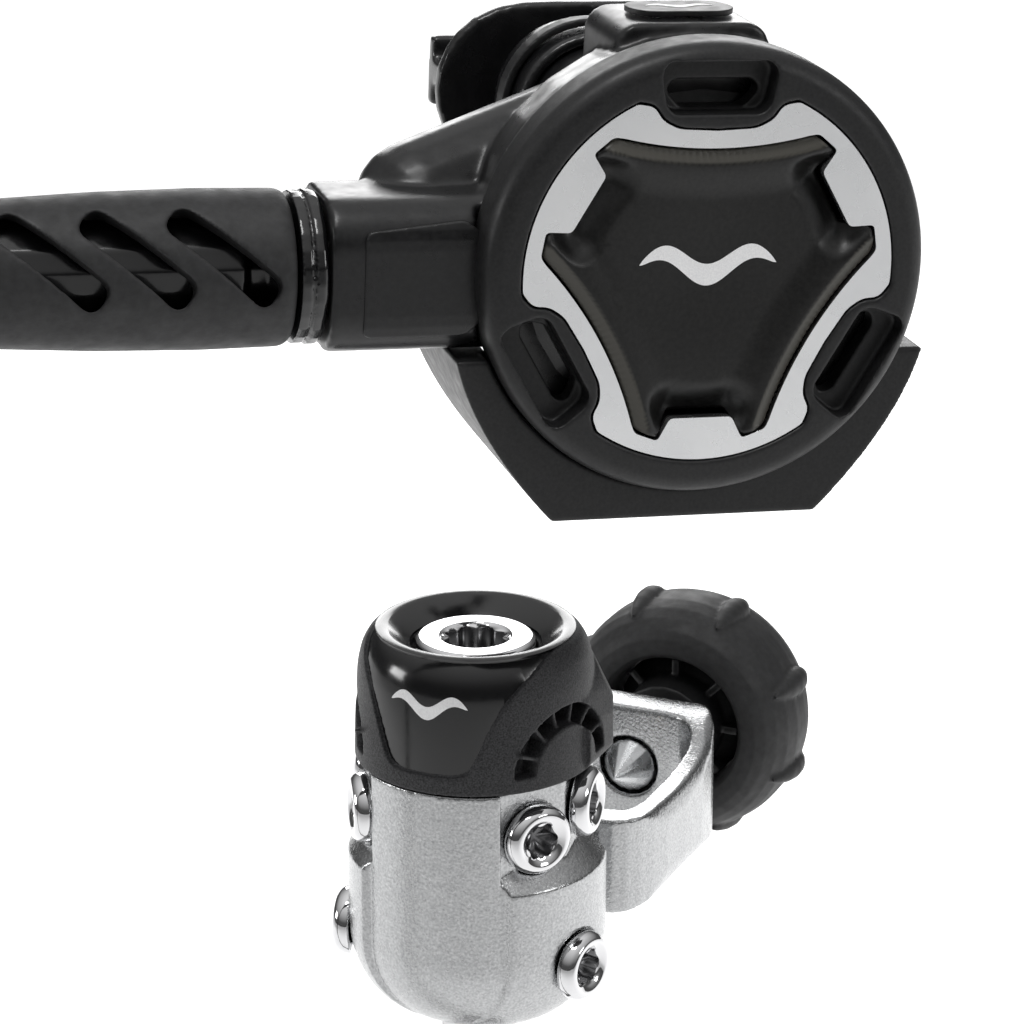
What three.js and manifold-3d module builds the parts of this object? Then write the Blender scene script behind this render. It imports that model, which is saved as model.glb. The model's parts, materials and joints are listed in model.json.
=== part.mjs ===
// Scuba regulator set: a yoke first stage and a demand second stage joined by one low-pressure hose.
// Millimetres, +Z up. The origin is the centre of the yoke's inlet seat, where the tank valve presses.
// The yoke screw lies along +Y. The second stage has its own frame: front at -Y, hose leaving at -X.
import * as THREE from 'three';
import { mergeVertices } from 'three/addons/utils/BufferGeometryUtils.js';
import Module from 'manifold-3d';

const wasm = await Module();
wasm.setup();

// ---------------------------------------------------------------- driving dimensions
const GAP = 0.3; // clearance between touching pieces
const ROUND = 28; // sides of a large round piece
const SMALL_ROUND = 12; // sides of a small round piece
const DRUM_ROUND = 40; // sides of the drums that show most

const BODY_AXIS_Y = -34; // first stage body axis, in front of the seat
const BODY_R = 20.5;
const BODY_BOTTOM = -16.8;
const BODY_TOP = 30; // seam under the diaphragm cap
const CAP_TOP = 53.5;
const LP_Z = 21;
const LP_REAR_Z = 23.5;
const HP_Z = -4;
const FACET = 18.4; // distance of the flat port faces from the body's axis
const HP_REACH = 21.4; // distance of the high-pressure plugs' seats from the body's axis
const BLOCK_R = 22.6; // outer radius of the high-pressure side blocks
const LEDGE_Z = 13; // foot of the flat port faces

const YOKE_HALF = 20.8;
const YOKE_OPENING = 16;
const YOKE_BACK = -9.7;
const YOKE_FRONT_WALL = -3;
const YOKE_FAR_WALL = 36;
const YOKE_END = 45;

const SHAFT_R = 5.7;
const TIP_Y = 29;
const KNOB_FRONT = 56;
const KNOB_BACK = 78;
const KNOB_R = 24;
const KNOB_BUMPS = 8;

const STAGE2_PLACE = new THREE.Vector3(50.5, -57.5, 126);
const STAGE2_ROLL = THREE.MathUtils.degToRad(2.5);
const STAGE2_TURN = THREE.MathUtils.degToRad(39);
const COVER_R = 35.5;
const TRIM_R = 29.5;
const LOBE_R = 22.4; // nearest edge of a window lobe to the cover's centre
const LOBE_HALF = 10.2;
const STAR_CORNER_R = 26.6;
const FLANGE_Y = 3.6; // front of the purge button's retaining flange
const INLET_Y = 19; // hose axis behind the cover's face
const INLET_Z = -1.8; // hose axis below the cover's centre
const ARM_HALF = 12; // half of the arm's height and depth
const ARM_END = -57.5;
const HOSE_R = 6.2;
const FERRULE_END = -116;
const EXHAUST_Y = 24;
const TEE_FRONT = 6;
const TEE_BACK = 41;
const TEE_BOTTOM = -40.6;
const CASE_RIM = 10.8; // front edge of the case, behind the cover
const MOUTH_LIFT = 15; // mouth tube axis above the hose axis

// The hose centre line, from the second stage's ferrule to the first stage's ferrule.
const HOSE_ROUTE = [
  [-51.9, -115.9, 129.3], [-64.3, -125.9, 130], [-76.7, -136, 130.7], [-101.2, -155.9, 126.2],
  [-122.4, -173.1, 111], [-137.1, -185, 85.2], [-143, -189.8, 54.1], [-140.3, -187.5, 16.6],
  [-140.3, -187.5, -20.9], [-140.3, -187.5, -58.5], [-140.3, -187.5, -96], [-136, -182.9, -131.6],
  [-123.9, -169.6, -162.8], [-105.2, -149.1, -186], [-82.3, -124.1, -198.4], [-58, -97.4, -198.4],
  [-35.1, -72.4, -186], [-16.4, -52, -162.8], [-4.2, -38.6, -131.6], [0, -34, -96],
  [0, -34, -84], [0, -34, -64], [0, -34, -44.3],
];
const HOSE_STEPS = 36;

// ---------------------------------------------------------------- materials
const paint = (color, roughness, metalness) => () =>
  new THREE.MeshStandardMaterial({ color, roughness, metalness });
const SATIN_CHROME = paint(0xc9cbcd, 0.38, 1);
const CHROME = paint(0xe6e7e8, 0.12, 1);
const STEEL = paint(0xb4b6b8, 0.3, 1);
const BRASS = paint(0xb8975a, 0.35, 1);
const BLACK_PLASTIC = paint(0x1c1c1e, 0.45, 0);
const GLOSS_BLACK = paint(0x141416, 0.2, 0);
const BLACK_RUBBER = paint(0x202022, 0.75, 0);
const SILICONE = paint(0x18181a, 0.4, 0);
const WHITE_PLASTIC = paint(0xd8d8d4, 0.5, 0);

// ---------------------------------------------------------------- solids
// Turns a closed geometry into a solid whose faces point out.
function solid(geometry) {
  let bare = new THREE.BufferGeometry();
  bare.setAttribute('position', geometry.getAttribute('position').clone());
  if (geometry.index) bare.setIndex(geometry.index.clone());
  bare = mergeVertices(bare, 1e-4);
  const points = bare.getAttribute('position').array;
  const corners = bare.index.array;
  const kept = [];
  let volume = 0;
  const a = new THREE.Vector3();
  const b = new THREE.Vector3();
  const c = new THREE.Vector3();
  for (let i = 0; i < corners.length; i += 3) {
    const [p, q, r] = corners.slice(i, i + 3);
    if (p === q || q === r || p === r) continue;
    kept.push(p, q, r);
    volume += a.fromArray(points, 3 * p).dot(b.fromArray(points, 3 * q).cross(c.fromArray(points, 3 * r)));
  }
  if (volume < 0) kept.reverse();
  return new wasm.Manifold(new wasm.Mesh({
    numProp: 3, vertProperties: new Float32Array(points), triVerts: new Uint32Array(kept),
  }));
}

// Turns a solid back into a geometry.
function geometryOf(manifold) {
  const mesh = manifold.getMesh();
  const geometry = new THREE.BufferGeometry();
  geometry.setAttribute('position', new THREE.BufferAttribute(new Float32Array(mesh.vertProperties), 3));
  geometry.setIndex(new THREE.BufferAttribute(new Uint32Array(mesh.triVerts), 1));
  return geometry;
}

const joined = (...parts) => parts.reduce((sum, part) => sum.add(part));
const cutBy = (body, ...tools) => tools.reduce((left, tool) => left.subtract(tool), body);

// A prism of an outline drawn in (x, z), from y0 to y1.
function prismY(shape, y0, y1, curveSegments = 8) {
  const geometry = new THREE.ExtrudeGeometry(shape, { depth: y1 - y0, bevelEnabled: false, curveSegments });
  return solid(geometry.rotateX(Math.PI / 2).translate(0, y1, 0));
}

// A prism of an outline drawn in (x, y), from z0 to z1.
function prismZ(shape, z0, z1, curveSegments = 8) {
  const geometry = new THREE.ExtrudeGeometry(shape, { depth: z1 - z0, bevelEnabled: false, curveSegments });
  return solid(geometry.translate(0, 0, z0));
}

// A prism of an outline drawn in (y, z), from x0 to x1.
function prismX(shape, x0, x1, curveSegments = 8) {
  const geometry = new THREE.ExtrudeGeometry(shape, { depth: x1 - x0, bevelEnabled: false, curveSegments });
  const turn = new THREE.Matrix4().set(0, 0, 1, x0, 1, 0, 0, 0, 0, 1, 0, 0, 0, 0, 0, 1);
  return solid(geometry.applyMatrix4(turn));
}

// A turned solid: the profile's points are [radius, distance along the axis].
function turned(profile, axis, sides = ROUND) {
  const geometry = new THREE.LatheGeometry(profile.map(([r, h]) => new THREE.Vector2(r, h)), sides);
  if (axis === 'z') geometry.rotateX(Math.PI / 2);
  if (axis === 'x') geometry.rotateZ(-Math.PI / 2);
  return solid(geometry);
}

const rod = (r, from, to, axis, sides = SMALL_ROUND) =>
  turned([[0, from], [r, from], [r, to], [0, to]], axis, sides);
const sleeve = (inner, outer, from, to, axis, sides = ROUND) =>
  turned([[inner, from], [outer, from], [outer, to], [inner, to], [inner, from]], axis, sides);
const boxOf = (x0, x1, y0, y1, z0, z1) =>
  solid(new THREE.BoxGeometry(x1 - x0, y1 - y0, z1 - z0)
    .translate((x0 + x1) / 2, (y0 + y1) / 2, (z0 + z1) / 2));

function polygon(points) {
  return new THREE.Shape(points.map(([u, v]) => new THREE.Vector2(u, v)));
}

// A rectangle with rounded corners, centred on (cu, cv).
function roundedRect(halfU, halfV, radius, cu = 0, cv = 0) {
  const shape = new THREE.Shape();
  shape.absarc(cu + halfU - radius, cv + halfV - radius, radius, 0, Math.PI / 2);
  shape.absarc(cu - halfU + radius, cv + halfV - radius, radius, Math.PI / 2, Math.PI);
  shape.absarc(cu - halfU + radius, cv - halfV + radius, radius, Math.PI, 1.5 * Math.PI);
  shape.absarc(cu + halfU - radius, cv - halfV + radius, radius, 1.5 * Math.PI, 2 * Math.PI);
  return shape;
}

// A tube along a curve, of a round section.
function tubeAlong(points, radius, steps, sides = 10) {
  const path = new THREE.CatmullRomCurve3(points.map((p) => new THREE.Vector3(...p)), false, 'centripetal');
  const section = new THREE.Shape();
  for (let i = 0; i < sides; i += 1) {
    const turn = (2 * Math.PI * i) / sides;
    const method = i === 0 ? 'moveTo' : 'lineTo';
    section[method](radius * Math.cos(turn), radius * Math.sin(turn));
  }
  section.closePath();
  return solid(new THREE.ExtrudeGeometry(section, { steps, extrudePath: path, bevelEnabled: false }));
}

// A helical spring about the Z axis.
function helix(radius, wire, from, to, turns) {
  const points = [];
  const perTurn = 8;
  for (let i = 0; i <= turns * perTurn; i += 1) {
    const turn = (2 * Math.PI * i) / perTurn;
    const rise = from + wire + ((to - from - 2 * wire) * i) / (turns * perTurn);
    points.push([radius * Math.cos(turn), radius * Math.sin(turn), rise]);
  }
  return tubeAlong(points, wire, turns * perTurn, 5);
}

// Places one named piece in a group.
function place(group, name, shape, material) {
  const mesh = new THREE.Mesh(shape.isBufferGeometry ? shape : geometryOf(shape), material());
  mesh.name = name;
  group.add(mesh);
  return mesh;
}

// ---------------------------------------------------------------- first stage body
// Direction in the horizontal plane at an azimuth counted from -Y towards +X.
const facing = (shape, azimuth) => shape.rotate([0, 0, azimuth]);

function portBore(azimuth, z, radius, from = -30, to = -4) {
  return facing(rod(radius, from, to, 'y').translate([0, 0, z]), azimuth);
}

const PORTS = [
  { name: 'low_pressure_plug_right_front', azimuth: 56, z: LP_Z, reach: FACET },
  { name: 'low_pressure_plug_right_rear', azimuth: 95, z: LP_REAR_Z, reach: FACET },
  { name: 'low_pressure_plug_left_front', azimuth: -56, z: LP_Z, reach: FACET },
  { name: 'low_pressure_plug_left_rear', azimuth: -95, z: LP_REAR_Z, reach: FACET },
  { name: 'high_pressure_plug_right', azimuth: 77, z: HP_Z, reach: HP_REACH },
  { name: 'high_pressure_plug_left', azimuth: -77, z: HP_Z, reach: HP_REACH },
];
const PORT_R = 4.2;
const PORT_FLOOR = -12.6;
const PLUG_R = 6.2;

// A drum with a domed lower end: an ellipse, up to the seam height, that runs into a small flat.
function domedDrum(radius, seam) {
  const flat = 9;
  const steps = 5;
  const profile = [[0, BODY_BOTTOM], [flat, BODY_BOTTOM]];
  for (let i = 1; i <= steps; i += 1) {
    const turn = (1 - i / steps) * (Math.PI / 2);
    profile.push([flat + (radius - flat) * Math.cos(turn), seam + (BODY_BOTTOM - seam) * Math.sin(turn)]);
  }
  profile.push([radius, BODY_TOP], [0, BODY_TOP]);
  return turned(profile, 'z', DRUM_ROUND);
}

// The high-pressure side block, with a top ledge that climbs towards the back.
function highPressureBlock(side) {
  const block = prismY(polygon([
    [-11, BODY_BOTTOM], [12.5, BODY_BOTTOM], [12.5, LEDGE_Z + 2], [-13, LEDGE_Z - 1], [-13, BODY_BOTTOM],
  ]), -BLOCK_R - 1, -8).rotate([0, 0, 77]);
  return side > 0 ? block : block.mirror([1, 0, 0]);
}

// Takes a flat off the drum at an azimuth, above the ledge.
function facetTool(azimuth) {
  return facing(prismY(polygon([
    [-14, LEDGE_Z - 0.5], [14, LEDGE_Z + 2.5], [14, BODY_TOP + 1], [-14, BODY_TOP + 1],
  ]), -40, -FACET), azimuth);
}

function firstStageBody() {
  const rear = prismZ(roundedRect(15, 8, 6, 0, 10), 0, BODY_TOP);
    const blocks = highPressureBlock(1).add(highPressureBlock(-1)).intersect(domedDrum(BLOCK_R, -1));
  let body = domedDrum(BODY_R, -2).add(rear);
  body = cutBy(body, facetTool(56), facetTool(95), facetTool(-56), facetTool(-95));
  body = body.add(blocks).add(rod(12, 16, 24, 'y', 20));
  return cutBy(body, ...bodyCavities());
}

function bodyCavities() {
  const cavities = [
    rod(14.6, 12.5, BODY_TOP + 1, 'z', 20), // intermediate-pressure chamber under the diaphragm
    rod(5.2, -11, 13, 'z'), // valve bore
    rod(4, 0, 8, 'y'), // inlet passage
    rod(7.6, 8, 25, 'y'), // retainer socket
    rod(5.2, BODY_BOTTOM - 1, -13.6, 'z'), // hose port in the lower end
    rod(1.5, -16.5, 13.5, 'z').translate([9.5, 0, 0]), // drilling that feeds the hose port
    rod(1.4, 0, 10.5, 'x').translate([0, 0, -15]),
  ];
  for (const port of PORTS) {
    cavities.push(portBore(port.azimuth, port.z, PLUG_R + GAP, -30, -port.reach));
    cavities.push(portBore(port.azimuth, port.z, PORT_R, -30, PORT_FLOOR));
    cavities.push(portBore(port.azimuth, port.z, 1.5, PORT_FLOOR - 1, port.z === HP_Z ? -4 : -11));
  }
  return cavities;
}

// A screw plug with a domed rim and a six-lobed key socket, pointing along -Y from its seat.
function portPlug({ azimuth, z, reach }) {
  const seat = -reach - GAP;
  const profile = [
    [0, PORT_FLOOR - 2], [PORT_R - GAP, PORT_FLOOR - 2], [PORT_R - GAP, seat], [PLUG_R, seat],
    [PLUG_R, seat - 1.8], [PLUG_R - 0.6, seat - 3], [PLUG_R - 1.6, seat - 3.4],
    [3.9, seat - 3], [0, seat - 3],
  ];
  const socket = prismY(lobedOutline(3, 0.45, 6), seat - 4, seat + 1.2);
  return facing(turned(profile, 'y', 16).subtract(socket).translate([0, 0, z]), azimuth);
}

// A round outline with lobes: radius plus a wave.
function lobedOutline(radius, wave, lobes, steps = 3) {
  const points = [];
  const count = lobes * steps;
  for (let i = 0; i < count; i += 1) {
    const turn = (2 * Math.PI * i) / count;
    const r = radius + wave * Math.cos(lobes * turn);
    points.push([r * Math.cos(turn), r * Math.sin(turn)]);
  }
  return polygon(points);
}

// ---------------------------------------------------------------- diaphragm cap
const CAP_SEAM = BODY_TOP + GAP;

function capShell() {
  const outer = [
    [0, CAP_SEAM], [20.9, CAP_SEAM], [20.8, 36], [20.2, CAP_TOP - 6.5], [19.4, CAP_TOP - 3.2],
    [18, CAP_TOP - 0.9], [16.2, CAP_TOP], [14.9, CAP_TOP - 0.4], [11.2, CAP_TOP - 3.2],
    [11.2, CAP_TOP - 5], [0, CAP_TOP - 5],
  ];
  const wingOutline = new THREE.Shape();
  wingOutline.moveTo(-21.9, CAP_SEAM);
  wingOutline.lineTo(21.9, CAP_SEAM);
  wingOutline.lineTo(21.7, 38);
  wingOutline.quadraticCurveTo(21, 45, 16, 49.5);
  wingOutline.lineTo(-16, 49.5);
  wingOutline.quadraticCurveTo(-21, 45, -21.7, 38);
  const wings = prismY(wingOutline, -1, 15, 4);
  const round = turned([[0, 20], [23.6, 20], [23.6, 40], [19, 50], [0, 50]], 'z', ROUND);
  return turned(outer, 'z', DRUM_ROUND).add(wings.intersect(round));
}

// The recessed front panel: a tapered window in the face of the cap.
function frontPanelTool() {
  const low = CAP_SEAM + 3.2;
  const high = CAP_TOP - 3;
  const outline = new THREE.Shape();
  outline.moveTo(-5, low);
  outline.lineTo(5, low);
  outline.quadraticCurveTo(6.8, low + 0.3, 7.6, low + 2);
  outline.lineTo(12.2, high - 5);
  outline.quadraticCurveTo(13, high - 2, 11, high);
  outline.lineTo(-11, high);
  outline.quadraticCurveTo(-13, high - 2, -12.2, high - 5);
  outline.lineTo(-7.6, low + 2);
  outline.quadraticCurveTo(-6.8, low + 0.3, -5, low);
  const core = turned([
    [0, 25], [20.2, 25], [19.7, high - 3], [17.6, high + 1], [0, high + 1],
  ], 'z', DRUM_ROUND);
  return prismY(outline, -24, 0, 3).subtract(core);
}

// The arched water port at a side, round a half-disc tab.
function sideArchTool(azimuth) {
  const arch = new THREE.Shape();
  arch.absarc(0, 0, 10.6, 0, Math.PI);
  arch.absarc(0, 0, 7.4, Math.PI, 0, true);
  return facing(prismY(arch, -30, -16, 8).translate([0, 0, CAP_SEAM + 2.6]), azimuth);
}

function diaphragmCap() {
  return cutBy(
    capShell(), rod(10.7, 40, CAP_TOP + 1, 'z', 20), rod(14.5, 20, CAP_TOP - 8, 'z', 20),
    frontPanelTool(), sideArchTool(74), sideArchTool(-74),
  );
}

function adjusterPlug() {
  const top = CAP_TOP - 2;
  const profile = [
    [0, top - 9], [10.3, top - 9], [10.3, top - 0.8], [9.7, top], [6.6, top], [6.6, top - 0.4],
    [0, top - 0.4],
  ];
  return turned(profile, 'z').subtract(prismZ(lobedOutline(5.1, 0.6, 8), top - 5, top + 3));
}

// ---------------------------------------------------------------- yoke and screw
function yokeOutline() {
  const outline = new THREE.Shape();
  outline.moveTo(-13, YOKE_BACK);
  outline.lineTo(13, YOKE_BACK);
  outline.quadraticCurveTo(20, YOKE_BACK, YOKE_HALF, 4);
  outline.lineTo(YOKE_HALF, 14);
  outline.quadraticCurveTo(YOKE_HALF, 38, 11, YOKE_END);
  outline.lineTo(-11, YOKE_END);
  outline.quadraticCurveTo(-YOKE_HALF, 38, -YOKE_HALF, 14);
  outline.lineTo(-YOKE_HALF, 4);
  outline.quadraticCurveTo(-20, YOKE_BACK, -13, YOKE_BACK);
  outline.holes.push(yokeOpening());
  return outline;
}

function yokeOpening() {
  const opening = new THREE.Path();
  opening.moveTo(-12, YOKE_FRONT_WALL);
  opening.quadraticCurveTo(-YOKE_OPENING, YOKE_FRONT_WALL, -YOKE_OPENING, 4);
  opening.lineTo(-YOKE_OPENING, 22);
  opening.quadraticCurveTo(-YOKE_OPENING, YOKE_FAR_WALL, -8, YOKE_FAR_WALL);
  opening.lineTo(8, YOKE_FAR_WALL);
  opening.quadraticCurveTo(YOKE_OPENING, YOKE_FAR_WALL, YOKE_OPENING, 22);
  opening.lineTo(YOKE_OPENING, 4);
  opening.quadraticCurveTo(YOKE_OPENING, YOKE_FRONT_WALL, 12, YOKE_FRONT_WALL);
  return opening;
}

// The yoke's side view: level along the arms, swelling to a round boss at the screw.
function yokeSide() {
  const side = new THREE.Shape();
  side.moveTo(YOKE_BACK - 1, -9);
  side.quadraticCurveTo(2, -8, 12, -8);
  side.quadraticCurveTo(24, -8.2, 32, -11);
  side.quadraticCurveTo(38, -12.8, YOKE_END - 2, -12.2);
  side.lineTo(YOKE_END + 1, -10.6);
  side.lineTo(YOKE_END + 1, 10.6);
  side.lineTo(YOKE_END - 2, 12.2);
  side.quadraticCurveTo(38, 12.8, 32, 11.4);
  side.quadraticCurveTo(24, 8.6, 12, 8.4);
  side.quadraticCurveTo(2, 8.4, YOKE_BACK - 1, 9.6);
  return side;
}

// The yoke's end view, a rounded block that takes the corners off.
const yokeEnd = () => prismY(roundedRect(YOKE_HALF + 0.1, 12.9, 9), YOKE_BACK - 1, YOKE_END + 1, 4);

function yoke() {
  const loop = prismZ(yokeOutline(), -17, 17, 5).intersect(prismX(yokeSide(), -30, 30, 5));
  return cutBy(
    loop.intersect(yokeEnd()), rod(7.6, YOKE_BACK - 2, YOKE_FRONT_WALL + 1, 'y', 16),
    rod(SHAFT_R + GAP, YOKE_FAR_WALL - 2, YOKE_END + 2, 'y', 16),
  );
}

// The hollow bolt that holds the yoke to the body and carries the seat.
function inletRetainer() {
  const profile = [
    [3.4, -25], [7.2, -25], [7.2, YOKE_FRONT_WALL + GAP], [10.8, YOKE_FRONT_WALL + GAP],
    [10.8, -0.8], [10, 0], [8.8, 0], [8.8, -1.4], [6, -1.4], [6, 0], [4.6, 0], [3.4, -1.2], [3.4, -25],
  ];
  return turned(profile, 'y', 20);
}

function inletFilter() {
  return turned([[0, -9], [1.6, -9], [3.1, -2.6], [3.1, -1.8], [0, -1.8]], 'y');
}

function screwCone() {
  return turned([[0, TIP_Y], [5.3, TIP_Y + 7.6], [5.3, TIP_Y + 9.6], [0, TIP_Y + 9.6]], 'y', 16);
}

function yokeScrew() {
  const start = TIP_Y + 9.6 + GAP;
  return turned([
    [0, start], [SHAFT_R, start], [SHAFT_R, 70], [3.2, 70], [3.2, 76], [0, 76],
  ], 'y', 16);
}

// The knob's hub: a boss, a web with ribs, and a bore for the screw.
function knobHub() {
  const web = turned([
    [SHAFT_R + GAP, 54], [9.6, 54], [10, 62], [13.4, 65], [13.4, 75.5], [3.5, 77],
    [3.5, 70 + GAP], [SHAFT_R + GAP, 70 + GAP], [SHAFT_R + GAP, 54],
  ], 'y', 20);
  const ribs = [];
  for (let i = 0; i < KNOB_BUMPS; i += 1) {
    const rib = boxOf(-0.8, 0.8, 60, 67, 9, 13.3);
    ribs.push(rib.rotate([0, i * 45, 0]));
  }
  return joined(web, ...ribs);
}

// The rubber grip: a crowned ring with eight finger bumps.
function knobGrip() {
  const ring = turned([
    [13.8, 60], [14.6, 57.4], [16.4, KNOB_FRONT], [20, KNOB_FRONT + 0.8], [23, 60], [KNOB_R, 65],
    [KNOB_R, 71], [23, 75.4], [20, 77.6], [16.6, KNOB_BACK], [13.8, 77.2], [13.8, 60],
  ], 'y', ROUND);
  const bumps = [];
  for (let i = 0; i < KNOB_BUMPS; i += 1) {
    const bump = turned([[0, 59], [1.6, 60.6], [2.6, 64.5], [2.9, 67], [2.6, 69.5], [1.6, 73.5], [0, 75]],
      'y', 6);
    bumps.push(bump.translate([0, 0, KNOB_R - 0.8]).rotate([0, i * 45 + 22.5, 0]));
  }
  return joined(ring, ...bumps);
}

// ---------------------------------------------------------------- first stage internals
function firstStageInternals(group) {
  place(group, 'first_stage_diaphragm', turned([
    [0, 28.2], [5, 28.2], [8, 28.8], [14, 28.8], [14, BODY_TOP], [0, BODY_TOP],
  ], 'z', 20), BLACK_RUBBER);
  place(group, 'spring_pad', turned([
    [0, CAP_SEAM], [11, CAP_SEAM], [11, 31.6], [5.4, 32.2], [0, 32.2],
  ], 'z', 20), BRASS);
  place(group, 'main_spring', helix(8, 1.25, 32, 42.2, 3), STEEL);
  place(group, 'lift_pin', turned([
    [0, 11.6], [1, 11.6], [1, 25.4], [4.5, 26.4], [4.5, 27.9], [0, 27.9],
  ], 'z', 10), BRASS);
  place(group, 'valve_seat', sleeve(1.6, 4.9, 8.4, 11, 'z', 14), STEEL);
  place(group, 'valve_poppet', turned([
    [0, -2], [1.8, -2], [1.8, 3.5], [3.4, 3.5], [3.4, 7], [1, 8], [1, 11.3], [0, 11.3],
  ], 'z', 12), WHITE_PLASTIC);
  place(group, 'poppet_spring', helix(2.9, 0.5, -6.2, 3.2, 5), STEEL);
  place(group, 'spring_carrier', turned([[0, -10.6], [4.8, -10.6], [4.8, -6.6], [0, -6.6]], 'z'), BRASS);
}

// ---------------------------------------------------------------- first stage assembly
function firstStage() {
  const stage = new THREE.Group();
  const column = new THREE.Group();
  column.position.y = BODY_AXIS_Y;
  stage.add(column);
  place(column, 'first_stage_body', firstStageBody(), SATIN_CHROME);
  place(column, 'diaphragm_cap', diaphragmCap(), BLACK_PLASTIC);
  place(column, 'adjuster_plug', adjusterPlug(), CHROME);
  firstStageInternals(column);
  for (const port of PORTS) place(column, port.name, portPlug(port), CHROME);
  place(column, 'first_stage_ferrule', firstStageFerrule(), CHROME);
  place(column, 'first_stage_hose_boot', sleeve(HOSE_R + GAP, 8.2, -60, -44.6, 'z', 14), BLACK_RUBBER);
  place(stage, 'yoke', yoke(), SATIN_CHROME);
  place(stage, 'inlet_retainer', inletRetainer(), CHROME);
  place(stage, 'inlet_filter', inletFilter(), BRASS);
  place(stage, 'inlet_seal', sleeve(6.2, 8.6, -1.1, -0.2, 'y', 16), BLACK_RUBBER);
  place(stage, 'screw_cone', screwCone(), STEEL);
  place(stage, 'yoke_screw', yokeScrew(), STEEL);
  place(stage, 'knob_hub', knobHub(), BLACK_PLASTIC);
  place(stage, 'knob_grip', knobGrip(), BLACK_RUBBER);
  return stage;
}

// The hose's first stage end: a threaded nose, a hexagon and a crimped sleeve.
function firstStageFerrule() {
  const hexagon = [];
  for (let i = 0; i < 6; i += 1) {
    const turn = (Math.PI / 3) * i;
    hexagon.push([7.6 * Math.cos(turn), 7.6 * Math.sin(turn)]);
  }
  return joined(
    rod(4.9, -25, -14, 'z'), prismZ(polygon(hexagon), -24, BODY_BOTTOM - GAP),
    turned([[0, -44], [6.4, -44], [6.8, -43], [6.8, -26], [6, -23.5], [0, -23.5]], 'z', 14),
  );
}

// ---------------------------------------------------------------- second stage cover
const third = (2 * Math.PI) / 3;

// Rotates an outline point by an angle.
const spun = ([u, v], turn) =>
  [u * Math.cos(turn) - v * Math.sin(turn), u * Math.sin(turn) + v * Math.cos(turn)];

// The outline round the window lobes: a circle that dips inwards at each lobe, grown by an offset.
function lobeOutline(offset) {
  const radius = TRIM_R + offset;
  const half = LOBE_HALF - offset;
  const dip = LOBE_R + offset;
  const points = [];
  for (let k = 0; k < 3; k += 1) {
    const lobe = [
      [-half - 2.6, Math.sqrt(radius ** 2 - (half + 2.6) ** 2)], [-half, 26.2 + offset],
      [-half + 1.4, dip + 1.6], [-half + 4, dip + 0.3], [0, dip],
      [half - 4, dip + 0.3], [half - 1.4, dip + 1.6],
      [half, 26.2 + offset], [half + 2.6, Math.sqrt(radius ** 2 - (half + 2.6) ** 2)],
    ].reverse();
    const start = Math.atan2(lobe[0][1], lobe[0][0]);
    const arcSteps = 9;
    const before = Math.atan2(lobe[8][1], lobe[8][0]) - third;
    for (let i = 1; i < arcSteps; i += 1) {
      const turn = before + ((start - before) * i) / arcSteps;
      points.push(spun([radius * Math.cos(turn), radius * Math.sin(turn)], k * third));
    }
    for (const corner of lobe) points.push(spun(corner, k * third));
  }
  return polygon(points);
}

const SIDE_STEPS = 8;
// A point on the star's long side below the lower right window, at a share of its half length.
function sideOfStar(share, inset) {
  const half = STAR_CORNER_R * Math.sin((37 * Math.PI) / 180);
  const mid = 19.2 - inset;
  const corner = STAR_CORNER_R * Math.cos((37 * Math.PI) / 180) - inset;
  return spun([-share * half, mid + (corner - mid) * share ** 2], -third);
}

// The three-armed outline of the purge button, shrunk by an inset.
function starOutline(inset) {
  const corner = STAR_CORNER_R - inset;
  const waist = 19.3 - inset;
  const points = [];
  for (let k = 0; k < 3; k += 1) {
    const arm = (k * third) - Math.PI / 2;
    const at = (degrees, r) => [r * Math.cos(arm + (degrees * Math.PI) / 180),
      r * Math.sin(arm + (degrees * Math.PI) / 180)];
    points.push(at(-23, corner), at(-14.6, corner + 0.1), at(-12.4, 22.8 - inset), at(0, 22.2 - inset),
      at(12.4, 22.8 - inset), at(14.6, corner + 0.1), at(23, corner));
    for (let i = 1; i < SIDE_STEPS; i += 1) {
      points.push(spun(sideOfStar((2 * i) / SIDE_STEPS - 1, inset), k * third));
    }
  }
  return polygon(points);
}

function windowOutline() {
  return polygon([[-7, 24.9], [7, 24.9], [8.2, 26], [9.2, 31.4], [8.2, 32.9], [-8.2, 32.9], [-9.2, 31.4],
    [-8.2, 26]]);
}

function coverRing() {
  const shell = turned([
    [0, 0.9], [30, 0.6], [33.6, 0.9], [35, 2], [COVER_R, 3.6], [COVER_R, 10.5], [33.2, 10.5],
    [33.2, 8], [0, 8],
  ], 'y', DRUM_ROUND);
  const windows = [];
  for (let k = 0; k < 3; k += 1) windows.push(prismY(windowOutline(), -1, 9).rotate([0, -120 * k, 0]));
  return cutBy(
    shell, prismY(lobeOutline(GAP), -1, 2.6), prismY(starOutline(-0.5), -1, 12),
    prismY(starOutline(-1.8), FLANGE_Y - GAP, 12), ...windows,
  );
}

function trimRing() {
  return prismY(lobeOutline(0), 0.9, 2.3).subtract(prismY(starOutline(-0.5), 0, 3));
}

function purgeButton() {
  const dish = solid(new THREE.SphereGeometry(60, 48, 32)).translate([0, -57, 0]);
  const button = prismY(starOutline(0), 0.4, FLANGE_Y + 1).subtract(dish);
  return button.add(prismY(starOutline(-1.4), FLANGE_Y, FLANGE_Y + 1));
}

// ---------------------------------------------------------------- second stage case
// Moves a piece from the X axis to the hose's axis.
const alongArm = (shape) => shape.translate([0, INLET_Y, INLET_Z]);

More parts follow.
